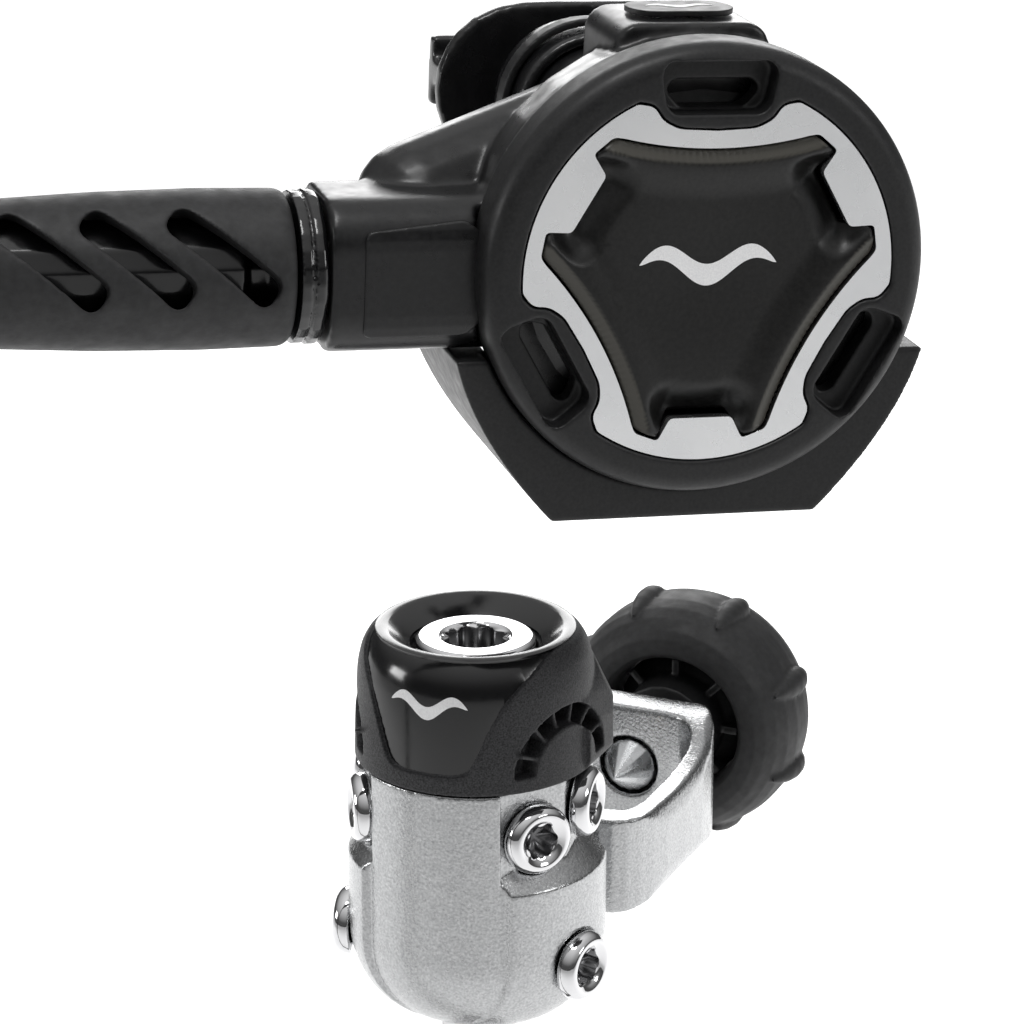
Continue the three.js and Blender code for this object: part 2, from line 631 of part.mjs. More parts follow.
function caseShell() {
  const bowl = turned([
    [0, CASE_RIM], [34.6, CASE_RIM], [34.4, 14], [33, 24], [29, 33], [22, 40], [13, 43.5],
    [0, 43.5],
  ], 'y', ROUND);
  const coverRoom = rod(COVER_R + GAP, -10, CASE_RIM, 'y', DRUM_ROUND);
  const arm = prismX(roundedRect(ARM_HALF, ARM_HALF, 7, INLET_Y, INLET_Z), ARM_END, -20, 4)
    .subtract(coverRoom);
  const shoulderAxis = [-40, 28, 6];
  const shoulder = rod(9.5, 0, 34, 'x', 16).add(solid(new THREE.SphereGeometry(9.5, 16, 10)))
    .rotate([0, -16, 16]).translate(shoulderAxis);
  const topBlock = prismY(roundedRect(12.5, 9, 4, 0, 27), 15, 33, 3);
  const neck = mouthTube(17, 11.5, 36, 57);
  return joined(bowl, arm, shoulder, topBlock, neck);
}

// An oval tube about the mouth axis.
function mouthTube(halfX, halfZ, from, to) {
  return prismY(roundedRect(halfX, halfZ, halfZ - 0.5, 0, MOUTH_LIFT), from, to, 5);
}

function caseCavity() {
  return joined(
    turned([[0, 8], [30.5, 8], [30.5, 24], [26.5, 31.5], [20, 37.5], [0, 40.5]], 'y', ROUND),
    mouthTube(14.2, 8.8, 30, 60),
    alongArm(rod(8.3, ARM_END - 1, -20, 'x')),
  );
}

function secondStageCase() {
  const exhaustPort = rod(6, -40, -24, 'z', 16).translate([0, EXHAUST_Y, 0]);
  return cutBy(caseShell(), caseCavity(), exhaustPort);
}

// The exhaust tee's outline, shrunk by a wall: wings from under the arm to a flat chin.
function teeOutline(wall, top) {
  const outline = new THREE.Shape();
  const chin = 21.6 - wall * 0.6;
  outline.moveTo(-38.6 + wall, -11);
  outline.quadraticCurveTo(-36.5 + wall, -25, -chin, TEE_BOTTOM + wall);
  outline.lineTo(chin, TEE_BOTTOM + wall);
  outline.quadraticCurveTo(36.5 - wall, -25, 38.6 - wall, -11);
  outline.lineTo(33 - wall, top);
  outline.lineTo(-33 + wall, top);
  return outline;
}

// The exhaust tee: a band that wraps the case's lower half and the cover's lower edge.
function exhaustTee() {
  const wall = 2.2;
  const caseRoom = turned([
    [0, 2], [COVER_R + GAP, 2], [COVER_R + GAP, CASE_RIM], [35, 11.5], [35, 14.3], [33.5, 24.4],
    [29.4, 33.4], [22.3, 40.4], [13, 44], [0, 44],
  ], 'y', DRUM_ROUND);
  const armRoom = boxOf(-62, -18, 2, 36, -15, 14);
  const band = prismY(teeOutline(0, -8), TEE_FRONT, TEE_BACK, 6);
  const inside = prismY(teeOutline(wall, -6), 15.5, TEE_BACK + 5, 6);
  return cutBy(band, caseRoom, inside, armRoom, hornBox(1), hornBox(-1));
}

// Takes the thin horns off the exhaust tee's upper ends.
const hornBox = (side) =>
  boxOf(side > 0 ? 25 : -45, side > 0 ? 45 : -25, TEE_FRONT - 1, TEE_BACK + 9, -15, 0);

function exhaustValve() {
  return turned([[0, -1], [7.2, -0.2], [7.2, 0.4], [1.4, 0.2], [1.4, 3], [0, 3]], 'z', 14)
    .translate([0, EXHAUST_Y, -34.6]);
}

// ---------------------------------------------------------------- demand mechanism
const LEVER_PIVOT_X = -6.1;
const LEVER_PIVOT_Y = 16;

function demandMechanism(group) {
  place(group, 'second_stage_diaphragm', turned([
    [11.3, 9.4], [22, 8.5], [27, 9.6], [30.4, 9.2], [30.4, 8.3], [32.8, 8.3], [32.8, 10.5],
    [30.4, 10.5], [30.4, 10], [27, 10.4], [22, 9.3], [11.3, 10.2], [11.3, 9.4],
  ], 'y'), SILICONE);
  place(group, 'diaphragm_disc', turned([[0, 9.4], [11, 9.4], [11, 10.4], [0, 10.4]], 'y'), STEEL);
  place(group, 'purge_spring', purgeSpring(), STEEL);
  place(group, 'valve_barrel', valveBarrel(), BRASS);
  place(group, 'valve_orifice', alongArm(sleeve(1.6, 3.9, -33, -29, 'x', 14)), BRASS);
  place(group, 'demand_poppet', alongArm(turned([
    [0, -27.6], [2.4, -27.6], [2.4, -24.5], [1.2, -24], [1.2, -1], [0, -1],
  ], 'x', 12)), WHITE_PLASTIC);
  place(group, 'demand_spring', alongArm(helix(2.9, 0.45, -23.4, -10, 5).rotate([0, 90, 0])), STEEL);
  place(group, 'demand_lever', demandLever(), STEEL);
}

function purgeSpring() {
  return helix(5, 0.5, -9.1, -FLANGE_Y - 1.3, 2).rotate([90, 0, 0]);
}

function valveBarrel() {
  const tube = sleeve(4.1, 5.5, -34, 0, 'x', 16);
  return alongArm(tube.subtract(boxOf(-8.6, 1, 8 - INLET_Y, -1.6, -2.4, 2.4)));
}

// The lever's round foot turns in the barrel's slot, and its arm slopes up to a crossbar behind the disc.
function demandLever() {
  const half = 1.6;
  const arm = prismZ(polygon([
    [-7.2, 13.6], [9.5, 10.8], [9.5, 11.8], [-5, 14.4], [-5, LEVER_PIVOT_Y], [-7.2, LEVER_PIVOT_Y],
  ]), -half, half);
  const foot = rod(1.1, -half, half, 'z').translate([LEVER_PIVOT_X, LEVER_PIVOT_Y, 0]);
  const crossbar = rod(0.9, -2.2, 2.2, 'z', 8).translate([9.3, 11.7, 0]);
  return joined(arm, foot, crossbar).translate([0, 0, INLET_Z]);
}

// ---------------------------------------------------------------- mouthpiece
function mouthpiece() {
  const bore = prismY(roundedRect(10.5, 7, 6.8, 0, MOUTH_LIFT), 40, 100, 5);
  const socket = mouthTube(17 + GAP, 11.5 + GAP, 40, 57 + GAP);
  const cuff = mouthTube(19.2, 13.7, 45, 60);
  const throat = mouthTube(14, 10, 59, 68);
  const shield = prismY(shieldOutline(), 67, 70, 6);
  const bites = [];
  for (const side of [-1, 1]) {
    const tab = boxOf(side > 0 ? 16 : -24, side > 0 ? 24 : -16, 69, 86, MOUTH_LIFT - 2.2, MOUTH_LIFT + 2.2);
    const stop = boxOf(side > 0 ? 16 : -24, side > 0 ? 24 : -16, 83, 86, MOUTH_LIFT - 6, MOUTH_LIFT + 6);
    bites.push(tab, stop);
  }
  return cutBy(joined(cuff, throat, shield, ...bites), bore, socket);
}

// The lip shield: a rounded oval that dips at its middle.
function shieldOutline() {
  const points = [];
  const count = 32;
  for (let i = 0; i < count; i += 1) {
    const turn = (2 * Math.PI * i) / count;
    const dip = 1 - 0.16 * Math.abs(Math.sin(turn)) ** 6;
    points.push([27 * Math.sign(Math.cos(turn)) * Math.abs(Math.cos(turn)) ** 0.8,
      MOUTH_LIFT + 17.5 * dip * Math.sin(turn)]);
  }
  return polygon(points);
}

function mouthpieceTie() {
  const band = mouthTube(20.8, 15.3, 49.5, 53).subtract(mouthTube(19.2 + GAP, 13.7 + GAP, 48, 55));
  const buckle = boxOf(-3.4, 3.4, 48.8, 53.7, MOUTH_LIFT - 19.2, MOUTH_LIFT - 14.6);
  return band.add(buckle);
}

// ---------------------------------------------------------------- hose end at the second stage
// The sleeve over the hose end, with three slanting slots.
function hoseProtector() {
  const shell = turned([
    [8.5, ARM_END - 5], [11.6, ARM_END - 5], [12.2, ARM_END - 6], [12, -90], [11, -112], [9.4, -124],
    [8.4, -126], [HOSE_R + 0.5, -126], [HOSE_R + 0.5, -117], [8.5, -116.6], [8.5, ARM_END - 5],
  ], 'x', 20);
  const slots = [];
  for (let k = 0; k < 3; k += 1) {
    const slot = prismY(roundedRect(7.5, 2.3, 2.2, 0, 0), -14, 0, 3).rotate([0, 40, 0]);
    const along = ARM_END - 16 - 13 * k;
    slots.push(slot.rotate([-24, 0, 0]).translate([along, 0, 0]));
    slots.push(slot.rotate([156, 0, 0]).translate([along, 0, 0]));
  }
  return cutBy(shell, ...slots);
}

function hoseFerrule() {
  return turned([
    [0, FERRULE_END], [7.6, FERRULE_END], [8, FERRULE_END + 1.5], [8, -70], [6, -69], [6, -66],
    [7.9, ARM_END - 5.6], [7.9, -32], [4, -32], [4, -31], [0, -31],
  ].map(([r, x]) => [r, Math.min(x, -34.6)]), 'x', 14);
}

function swivelNut() {
  return turned([
    [8.2, ARM_END - GAP], [11.6, ARM_END - GAP], [12, ARM_END - 1], [12, ARM_END - 2.2],
    [11.2, ARM_END - 2.5], [11.8, ARM_END - 2.9], [11.8, ARM_END - 4.4], [8.2, ARM_END - 4.7],
    [8.2, ARM_END - GAP],
  ], 'x');
}

// ---------------------------------------------------------------- second stage assembly
function secondStage() {
  const stage = new THREE.Group();
  stage.position.copy(STAGE2_PLACE);
  stage.rotation.set(0, STAGE2_ROLL, STAGE2_TURN, 'ZYX');
  place(stage, 'second_stage_case', secondStageCase(), BLACK_PLASTIC);
  place(stage, 'cover_ring', coverRing(), BLACK_PLASTIC);
  place(stage, 'trim_ring', trimRing(), SATIN_CHROME);
  place(stage, 'purge_button', purgeButton(), GLOSS_BLACK);
  place(stage, 'top_badge', topBadge(), GLOSS_BLACK);
  place(stage, 'exhaust_tee', exhaustTee(), BLACK_PLASTIC);
  place(stage, 'exhaust_valve', exhaustValve(), SILICONE);
  demandMechanism(stage);
  place(stage, 'mouthpiece', mouthpiece(), SILICONE);
  place(stage, 'mouthpiece_tie', mouthpieceTie(), BLACK_PLASTIC);
  place(stage, 'swivel_nut', alongArm(swivelNut()), GLOSS_BLACK);
  place(stage, 'hose_protector', alongArm(hoseProtector()), BLACK_RUBBER);
  place(stage, 'second_stage_ferrule', alongArm(hoseFerrule()), GLOSS_BLACK);
  return stage;
}

function topBadge() {
  const top = 36 + GAP;
  return prismZ(roundedRect(8.6, 4.6, 4.4, 0, 23.5), top, top + 0.9, 5);
}

// ---------------------------------------------------------------- the set
const set = new THREE.Group();
set.add(firstStage(), secondStage());
place(set, 'hose', tubeAlong(HOSE_ROUTE, HOSE_R, HOSE_STEPS), BLACK_RUBBER);

export default set;
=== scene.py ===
# Scuba regulator set: the looks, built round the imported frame. Metres, in the frame's own axes.
import json
import math

import bmesh
import bpy
from mathutils import Matrix, Vector


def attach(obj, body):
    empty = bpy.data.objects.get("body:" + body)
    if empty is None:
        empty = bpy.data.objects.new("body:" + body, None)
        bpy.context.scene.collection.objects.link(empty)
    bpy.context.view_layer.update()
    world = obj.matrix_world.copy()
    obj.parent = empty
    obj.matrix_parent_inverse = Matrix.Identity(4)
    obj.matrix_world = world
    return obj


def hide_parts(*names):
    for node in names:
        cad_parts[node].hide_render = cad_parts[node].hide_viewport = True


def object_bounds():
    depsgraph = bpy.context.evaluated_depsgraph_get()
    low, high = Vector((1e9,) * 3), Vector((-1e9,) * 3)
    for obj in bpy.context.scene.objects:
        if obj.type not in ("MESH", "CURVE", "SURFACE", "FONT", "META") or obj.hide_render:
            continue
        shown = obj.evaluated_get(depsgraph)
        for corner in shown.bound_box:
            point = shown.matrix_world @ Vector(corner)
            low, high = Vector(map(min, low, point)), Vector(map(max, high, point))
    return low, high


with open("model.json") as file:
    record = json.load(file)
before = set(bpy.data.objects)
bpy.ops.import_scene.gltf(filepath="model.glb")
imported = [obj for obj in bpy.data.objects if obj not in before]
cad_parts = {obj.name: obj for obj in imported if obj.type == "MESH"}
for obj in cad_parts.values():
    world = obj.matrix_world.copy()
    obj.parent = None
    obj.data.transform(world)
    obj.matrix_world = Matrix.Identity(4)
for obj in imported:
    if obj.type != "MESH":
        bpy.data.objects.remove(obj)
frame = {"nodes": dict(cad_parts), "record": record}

CAD_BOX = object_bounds()
MM = 0.001
NODES = frame["nodes"]

# ------------------------------------------------------------------ places shared with the frame
STAGE2 = (
    Matrix.Translation(Vector((50.5, -57.5, 126)) * MM)
    @ Matrix.Rotation(math.radians(39), 4, "Z")
    @ Matrix.Rotation(math.radians(2.5), 4, "Y")
)
BODY_AXIS = Matrix.Translation((0, -34 * MM, 0))
HOSE_R = 6.2 * MM
HOSE_ROUTE = [
    (-51.9, -115.9, 129.3), (-64.3, -125.9, 130), (-76.7, -136, 130.7), (-101.2, -155.9, 126.2),
    (-122.4, -173.1, 111), (-137.1, -185, 85.2), (-143, -189.8, 54.1), (-140.3, -187.5, 16.6),
    (-140.3, -187.5, -20.9), (-140.3, -187.5, -58.5), (-140.3, -187.5, -96), (-136, -182.9, -131.6),
    (-123.9, -169.6, -162.8), (-105.2, -149.1, -186), (-82.3, -124.1, -198.4), (-58, -97.4, -198.4),
    (-35.1, -72.4, -186), (-16.4, -52, -162.8), (-4.2, -38.6, -131.6), (0, -34, -96),
    (0, -34, -84), (0, -34, -64), (0, -34, -44.3),
]


# ------------------------------------------------------------------ camera
def make_camera():
    azimuth, elevation, distance = math.radians(24), math.radians(19), 0.6
    target = Vector((0.005, -0.03, 0.073))
    back = Vector((
        math.sin(azimuth) * math.cos(elevation),
        -math.cos(azimuth) * math.cos(elevation),
        math.sin(elevation),
    ))
    data = bpy.data.cameras.new("camera")
    data.sensor_width = 36
    data.lens = 124.9
    data.clip_start = 0.01
    camera = bpy.data.objects.new("camera", data)
    bpy.context.scene.collection.objects.link(camera)
    camera.location = target + back * distance
    camera.rotation_euler = back.to_track_quat("Z", "Y").to_euler()
    bpy.context.scene.camera = camera


# ------------------------------------------------------------------ meshes
def new_object(name, verts, faces, place=Matrix.Identity(4), smooth=True):
    mesh = bpy.data.meshes.new(name)
    mesh.from_pydata([tuple(place @ Vector(v)) for v in verts], [], faces)
    mesh.validate()
    mesh.update()
    mesh.polygons.foreach_set("use_smooth", [smooth] * len(mesh.polygons))
    obj = bpy.data.objects.new(name, mesh)
    bpy.context.scene.collection.objects.link(obj)
    return obj


def band_faces(a, b, count):
    """The quads between two loops of points, which start at a and at b."""
    return [(a + i, a + (i + 1) % count, b + (i + 1) % count, b + i) for i in range(count)]


def end_faces(count, rows):
    """The two faces that close a stack of loops."""
    return [tuple(reversed(range(count))), tuple(range((rows - 1) * count, rows * count))]


def turned(name, profile, place, sides=96, lobes=0, socket_rows=0):
    """A turned body about local -Y: profile points are (radius, depth, lobe height), in millimetres.

    The last socket_rows rows take the object's second material, a dark metal that paints shade into the
    socket."""
    verts, faces = [], []
    for radius, depth, wave in profile:
        for i in range(sides):
            turn = 2 * math.pi * i / sides
            r = radius + wave * math.cos(lobes * turn)
            verts.append((r * math.cos(turn) * MM, depth * MM, r * math.sin(turn) * MM))
    for row in range(len(profile) - 1):
        faces += band_faces(row * sides, (row + 1) * sides, sides)
    faces += end_faces(sides, len(profile))
    obj = new_object(name, verts, faces, place)
    dark_from = (len(profile) - 1 - socket_rows) * sides
    back_face = len(faces) - 2
    for i, polygon in enumerate(obj.data.polygons):
        polygon.material_index = int(socket_rows > 0 and i >= dark_from and i != back_face)
    return obj


def bent(start, middle, end, steps):
    """A curve between two points that sets out and arrives along the lines to a middle one."""
    start, middle, end = Vector(start), Vector(middle), Vector(end)
    curve = []
    for i in range(steps + 1):
        t = i / steps
        curve.append(tuple(start * (1 - t) ** 2 + middle * 2 * t * (1 - t) + end * t ** 2))
    return curve


def corner_arc(before, here, after, radius, share, steps):
    """Rounds a corner by up to that radius, taking no more than that share of either side."""
    corner = Vector(here)
    into, onward = Vector(before) - corner, Vector(after) - corner
    reach = min(radius, into.length * share, onward.length * share)
    return bent(corner + into.normalized() * reach, corner, corner + onward.normalized() * reach, steps)


def rounded_profile(points, radius, steps=5):
    """Rounds every corner of an open profile, between its two ends."""
    out = [points[0]]
    for before, here, after in zip(points, points[1:], points[2:]):
        out += corner_arc(before, here, after, radius, 0.45, steps)
    return out + [points[-1]]


def rounded_outline(points, radius, steps=4):
    """Rounds every corner of a closed outline, and leaves the nearly straight ones."""
    nearly_straight = math.radians(168)
    out = []
    for before, here, after in zip(points[-1:] + points[:-1], points, points[1:] + points[:1]):
        corner = Vector(here)
        if (Vector(before) - corner).angle(Vector(after) - corner) > nearly_straight:
            out.append(tuple(corner))
        else:
            out += corner_arc(before, here, after, radius, 0.48, steps)
    return out


# ------------------------------------------------------------------ solids joined and cut
AXES = {
    "x": lambda u, v, h: (h, u, v),
    "y": lambda u, v, h: (u, h, v),
    "z": lambda u, v, h: (u, v, h),
}


def lathe(profile, axis, sides=128):
    """A turned solid: a profile of (radius, distance along the axis) that is closed, or is capped flat."""
    to_point = AXES[axis]
    ring = profile[0] == profile[-1]
    rows = profile[:-1] if ring else profile
    verts, faces = [], []
    for radius, along in rows:
        for i in range(sides):
            turn = 2 * math.pi * i / sides
            point = to_point(radius * math.cos(turn), radius * math.sin(turn), along)
            verts.append([c * MM for c in point])
    pairs = list(zip(range(len(rows)), range(1, len(rows)))) + ([(len(rows) - 1, 0)] if ring else [])
    for a, b in pairs:
        faces += band_faces(a * sides, b * sides, sides)
    if not ring:
        faces += end_faces(sides, len(rows))
    return facing_out(new_object("tool", verts, faces))


def rod(radius, near, far, axis, sides=64):
    return lathe([(radius, near), (radius, far)], axis, sides)


def prism(outline, near, far, axis="y"):
    to_point = AXES[axis]
    count = len(outline)
    verts = [[c * MM for c in to_point(u, v, h)] for h in (near, far) for u, v in outline]
    faces = band_faces(0, count, count) + end_faces(count, 2)
    return facing_out(new_object("tool", verts, faces))


def box(x0, x1, y0, y1, z0, z1):
    return prism([(x0, z0), (x1, z0), (x1, z1), (x0, z1)], y0, y1)


def facing_out(obj):
    work = bmesh.new()
    work.from_mesh(obj.data)
    bmesh.ops.recalc_face_normals(work, faces=work.faces)
    work.to_mesh(obj.data)
    work.free()
    return obj


def moved(obj, place):
    obj.data.transform(place)
    return obj


def turned_z(obj, degrees):
    return moved(obj, Matrix.Rotation(math.radians(degrees), 4, "Z"))


def boolean(obj, operation, *tools):
    for tool in tools:
        step = obj.modifiers.new("boolean", "BOOLEAN")
        step.operation = operation
        step.solver = "EXACT"
        step.object = tool
        bake(obj)
        bpy.data.objects.remove(tool)
    return obj


def joined(obj, *tools):
    return boolean(obj, "UNION", *tools)


def cut(obj, *tools):
    return boolean(obj, "DIFFERENCE", *tools)


def common(obj, tool):
    return boolean(obj, "INTERSECT", tool)


def bake(obj):
    """Applies the object's modifiers to its mesh."""
    bpy.context.view_layer.update()
    seen = obj.evaluated_get(bpy.context.evaluated_depsgraph_get())
    mesh = bpy.data.meshes.new_from_object(seen)
    obj.modifiers.clear()
    obj.data = mesh


def cast(obj, name, voxel, rounds, place):
    """Gives a built solid the soft edges of a casting or moulding, its name and its place."""
    obj.name = name
    fine_round(obj, voxel, rounds)
    bake(obj)
    moved(obj, place)
    obj.data.polygons.foreach_set("use_smooth", [True] * len(obj.data.polygons))
    return obj


def fine_round(obj, voxel, rounds):
    """Rounds a solid's edges: an even fine mesh, in millimetres, smoothed so many times."""
    remesh = obj.modifiers.new("fine", "REMESH")
    remesh.mode = "VOXEL"
    remesh.voxel_size = voxel * MM * 1
    remesh.use_smooth_shade = True
    smooth = obj.modifiers.new("round", "SMOOTH")
    smooth.factor = 0.5
    smooth.iterations = rounds


# ------------------------------------------------------------------ materials
def as_colour(value):
    return (*value, 1) if isinstance(value, tuple) else (value, value, value, 1)


def shader(name, colour, roughness, metallic=0.0, **sockets):
    material = bpy.data.materials.new(name)
    material.use_nodes = True
    surface = material.node_tree.nodes["Principled BSDF"]
    surface.inputs["Base Color"].default_value = as_colour(colour)
    surface.inputs["Roughness"].default_value = roughness
    surface.inputs["Metallic"].default_value = metallic
    for socket, value in sockets.items():
        surface.inputs[socket.replace("_", " ")].default_value = value
    return material


def texture(material, kind, scale):
    """A noise or cell texture in object space, with scale in features per metre."""
    nodes, links = material.node_tree.nodes, material.node_tree.links
    coords = nodes.new("ShaderNodeTexCoord")
    made = nodes.new(f"ShaderNodeTex{kind}")
    made.inputs["Scale"].default_value = scale
    if kind == "Noise":
        made.inputs["Detail"].default_value = 4
    links.new(coords.outputs["Object"], made.inputs["Vector"])
    return made


def add_bump(material, parts):
    """Stacks bumps, each (texture kind, scale, depth in millimetres, strength)."""
    nodes, links = material.node_tree.nodes, material.node_tree.links
    last = None
    for kind, scale, depth, strength in parts:
        source = texture(material, kind, scale)
        bump = nodes.new("ShaderNodeBump")
        bump.inputs["Strength"].default_value = strength
        bump.inputs["Distance"].default_value = depth * MM
        links.new(source.outputs[0], bump.inputs["Height"])
        if last:
            links.new(last.outputs["Normal"], bump.inputs["Normal"])
        last = bump
    links.new(last.outputs["Normal"], nodes["Principled BSDF"].inputs["Normal"])


def vary(material, socket, scale, low, high):
    """Varies a socket between two values, or two colours, over the surface."""
    nodes, links = material.node_tree.nodes, material.node_tree.links
    source = texture(material, "Noise", scale)
    ramp = nodes.new("ShaderNodeValToRGB")
    ramp.color_ramp.elements[0].position = 0.3
    ramp.color_ramp.elements[1].position = 0.7
    ramp.color_ramp.elements[0].color = as_colour(low)
    ramp.color_ramp.elements[1].color = as_colour(high)
    links.new(source.outputs[0], ramp.inputs["Fac"])
    links.new(ramp.outputs["Color"], nodes["Principled BSDF"].inputs[socket])


def tint_by_attribute(material, name, tint):
    """Mixes a tint over the base colour where the mesh's attribute says so."""
    nodes, links = material.node_tree.nodes, material.node_tree.links
    surface = nodes["Principled BSDF"]
    below = surface.inputs["Base Color"].links[0].from_socket
    share = nodes.new("ShaderNodeAttribute")
    share.attribute_name = name
    mix = nodes.new("ShaderNodeMix")
    mix.data_type = "RGBA"
    links.new(share.outputs["Fac"], mix.inputs["Factor"])
    links.new(below, mix.inputs[6])
    mix.inputs[7].default_value = as_colour(tint)
    links.new(mix.outputs[2], surface.inputs["Base Color"])


# What each material is made of. Scales are in features per metre: rough and tone vary the roughness and the
# colour between two values, and a bump is (texture, scale, depth in millimetres, strength).
RECIPES = {
    "satin_metal": {
        "colour": (0.52, 0.525, 0.53), "metallic": 1, "rough": (900, 0.18, 0.3),
        "tone": (2400, (0.35, 0.355, 0.36), (0.54, 0.545, 0.55)),
        "bumps": [("Noise", 1700, 0.12, 0.7), ("Noise", 420, 0.1, 0.25)],
    },
    "trim_metal": {
        "colour": (0.78, 0.8, 0.82), "metallic": 1, "rough": (240, 0.24, 0.32),
        "tone": (60, (0.82, 0.83, 0.84), (0.9, 0.905, 0.91)),
        "bumps": [("Noise", 3200, 0.01, 0.25)],
    },
    "chrome": {
        "colour": (0.72, 0.72, 0.73), "metallic": 1, "rough": (300, 0.05, 0.1),
        "bumps": [("Noise", 260, 0.03, 0.1)],
    },
    # A dark metal for the plugs' sockets: painted shade inside their recesses.
    "socket": {"colour": (0.16, 0.16, 0.165), "metallic": 1, "rough": (700, 0.24, 0.4)},
    "steel": {
        "colour": (0.6, 0.61, 0.62), "metallic": 1, "rough": (700, 0.2, 0.34),
        "bumps": [("Noise", 1500, 0.02, 0.3)],
    },
    "brass": {
        "colour": (0.68, 0.52, 0.26), "metallic": 1, "rough": (600, 0.24, 0.38),
        "bumps": [("Noise", 1500, 0.02, 0.3)],
    },
    "black_plastic": {
        "colour": (0.009, 0.009, 0.0095), "specular": 0.36, "rough": (500, 0.38, 0.5),
        "tone": (1800, (0.007, 0.007, 0.0075), (0.014, 0.014, 0.0145)),
        "bumps": [("Noise", 3200, 0.03, 0.35), ("Voronoi", 1700, 0.02, 0.2)],
    },
    "case_plastic": {
        "colour": (0.006, 0.006, 0.0065), "specular": 0.45, "rough": (300, 0.26, 0.38),
        "tone": (1200, (0.004, 0.004, 0.0045), (0.009, 0.009, 0.0095)),
        "bumps": [("Noise", 2600, 0.02, 0.25)],
    },
    "cap_plastic": {
        "colour": (0.015, 0.015, 0.016), "specular": 0.3, "rough": (2600, 0.42, 0.6),
        "tone": (3400, (0.005, 0.005, 0.0055), (0.05, 0.05, 0.053)),
        "bumps": [("Noise", 3600, 0.08, 0.8), ("Voronoi", 2400, 0.04, 0.4)],
    },
    "gloss_black": {
        "colour": (0.004, 0.004, 0.0045), "specular": 0.7, "rough": (400, 0.13, 0.2),
        "bumps": [("Noise", 900, 0.01, 0.2)],
    },
    "purge_plastic": {
        "colour": (0.006, 0.006, 0.006), "specular": 0.35, "rough": (800, 0.32, 0.42),
        "tone": (1500, (0.0045, 0.0045, 0.0045), (0.01, 0.0098, 0.0095)),
        "bumps": [("Noise", 3400, 0.03, 0.4)],
    },
    "black_rubber": {
        "colour": (0.018, 0.018, 0.0185), "specular": 0.4, "rough": (300, 0.5, 0.66),
        "tone": (700, (0.014, 0.014, 0.0145), (0.024, 0.024, 0.025)),
        "bumps": [("Noise", 2600, 0.04, 0.45), ("Noise", 500, 0.05, 0.2)],
    },
    "hose_rubber": {
        "colour": (0.008, 0.008, 0.0085), "specular": 0.3, "rough": (250, 0.42, 0.56),
        "bumps": [("Noise", 1800, 0.04, 0.35)],
    },
    "silicone": {
        "colour": (0.006, 0.006, 0.0065), "specular": 0.6, "rough": (180, 0.18, 0.32),
        "bumps": [("Noise", 260, 0.15, 0.2), ("Noise", 2200, 0.01, 0.2)],
    },
    "white_plastic": {"colour": (0.72, 0.72, 0.7), "rough": (600, 0.4, 0.52)},
    "white_ink": {
        "colour": (0.85, 0.85, 0.86), "roughness": 0.4,
        "tone": (4000, (0.78, 0.78, 0.79), (0.9, 0.9, 0.9)),
    },
}


def make_material(name, colour, roughness=0.3, metallic=0, specular=0.5, rough=None, tone=None, bumps=None):
    material = shader(name, colour, roughness, metallic, Specular_IOR_Level=specular)
    if rough:
        vary(material, "Roughness", *rough)
    if tone:
        vary(material, "Base Color", *tone)
    if bumps:
        add_bump(material, bumps)
    return material


def make_materials():
    made = {name: make_material(name, **recipe) for name, recipe in RECIPES.items()}
    # The purge button's chamfer strip gets a lighter olive tint: a painted highlight along its ridges.
    tint_by_attribute(made["purge_plastic"], "chamfer", (0.055, 0.052, 0.044))
    return made


def paint(obj, material):
    obj.data.materials.clear()
    obj.data.materials.append(material)


# ------------------------------------------------------------------ pieces
def finish_piece(obj, material, body, slot, *replaced, second=None):
    """Paints a piece, names its body, and hides the frame nodes that it stands for. Its slot argument is not
    used.
    """
    kept = [polygon.material_index for polygon in obj.data.polygons] if second else []
    paint(obj, material)
    if second:
        obj.data.materials.append(second)
        obj.data.polygons.foreach_set("material_index", kept)
    if replaced:
        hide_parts(*replaced)
    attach(obj, body)


def facing_matrix(azimuth, height):
    """A place on the first stage's axis at a height, with local -Y turned to an azimuth in degrees."""
    lift = Matrix.Translation((0, 0, height * MM))
    return BODY_AXIS @ lift @ Matrix.Rotation(math.radians(azimuth), 4, "Z")


PLUG_R = 6.2
PORT_FACE = 18.4
HIGH_PRESSURE_AZIMUTH = 77
LOW_PRESSURE_AZIMUTHS = (56, 95, -56, -95)
# Each port plug's azimuth in degrees, height, and distance from the body's axis in millimetres.
PLUGS = {
    "low_pressure_plug_right_front": (56, 21, PORT_FACE),
    "low_pressure_plug_right_rear": (95, 23.5, PORT_FACE),
    "low_pressure_plug_left_front": (-56, 21, PORT_FACE),
    "low_pressure_plug_left_rear": (-95, 23.5, PORT_FACE),
    "high_pressure_plug_right": (HIGH_PRESSURE_AZIMUTH, -4, 21.4),
    "high_pressure_plug_left": (-HIGH_PRESSURE_AZIMUTH, -4, 21.4),
}


def port_plug(name, azimuth, height, reach, chrome, dark):
    """A domed chrome plug with a six-lobed socket; depth 0 is the body's axis."""
    seat = -reach - 0.3
    outer = rounded_profile([
        (3.6, -12, 0), (3.9, seat - 0.01, 0), (PLUG_R - 0.1, seat, 0), (PLUG_R, seat - 1.4, 0),
        (5.8, seat - 2.5, 0), (5.1, seat - 3.2, 0), (4.4, seat - 3.3, 0), (3.7, seat - 2.9, 0),
        (3.2, seat - 2.5, 0),
    ], 0.6)
    socket = [
        (3, seat - 2.4, 0.2), (2.75, seat - 2.2, 0.42), (2.7, seat - 0.2, 0.42), (0.5, seat + 0.4, 0),
    ]
    place = facing_matrix(azimuth, height)
    # The socket rows take the dark material: painted shade in the socket.
    obj = turned("chrome_" + name, outer + socket, place, sides=96, lobes=6, socket_rows=3)
    finish_piece(obj, chrome, "regulator", "chrome", name, second=dark)


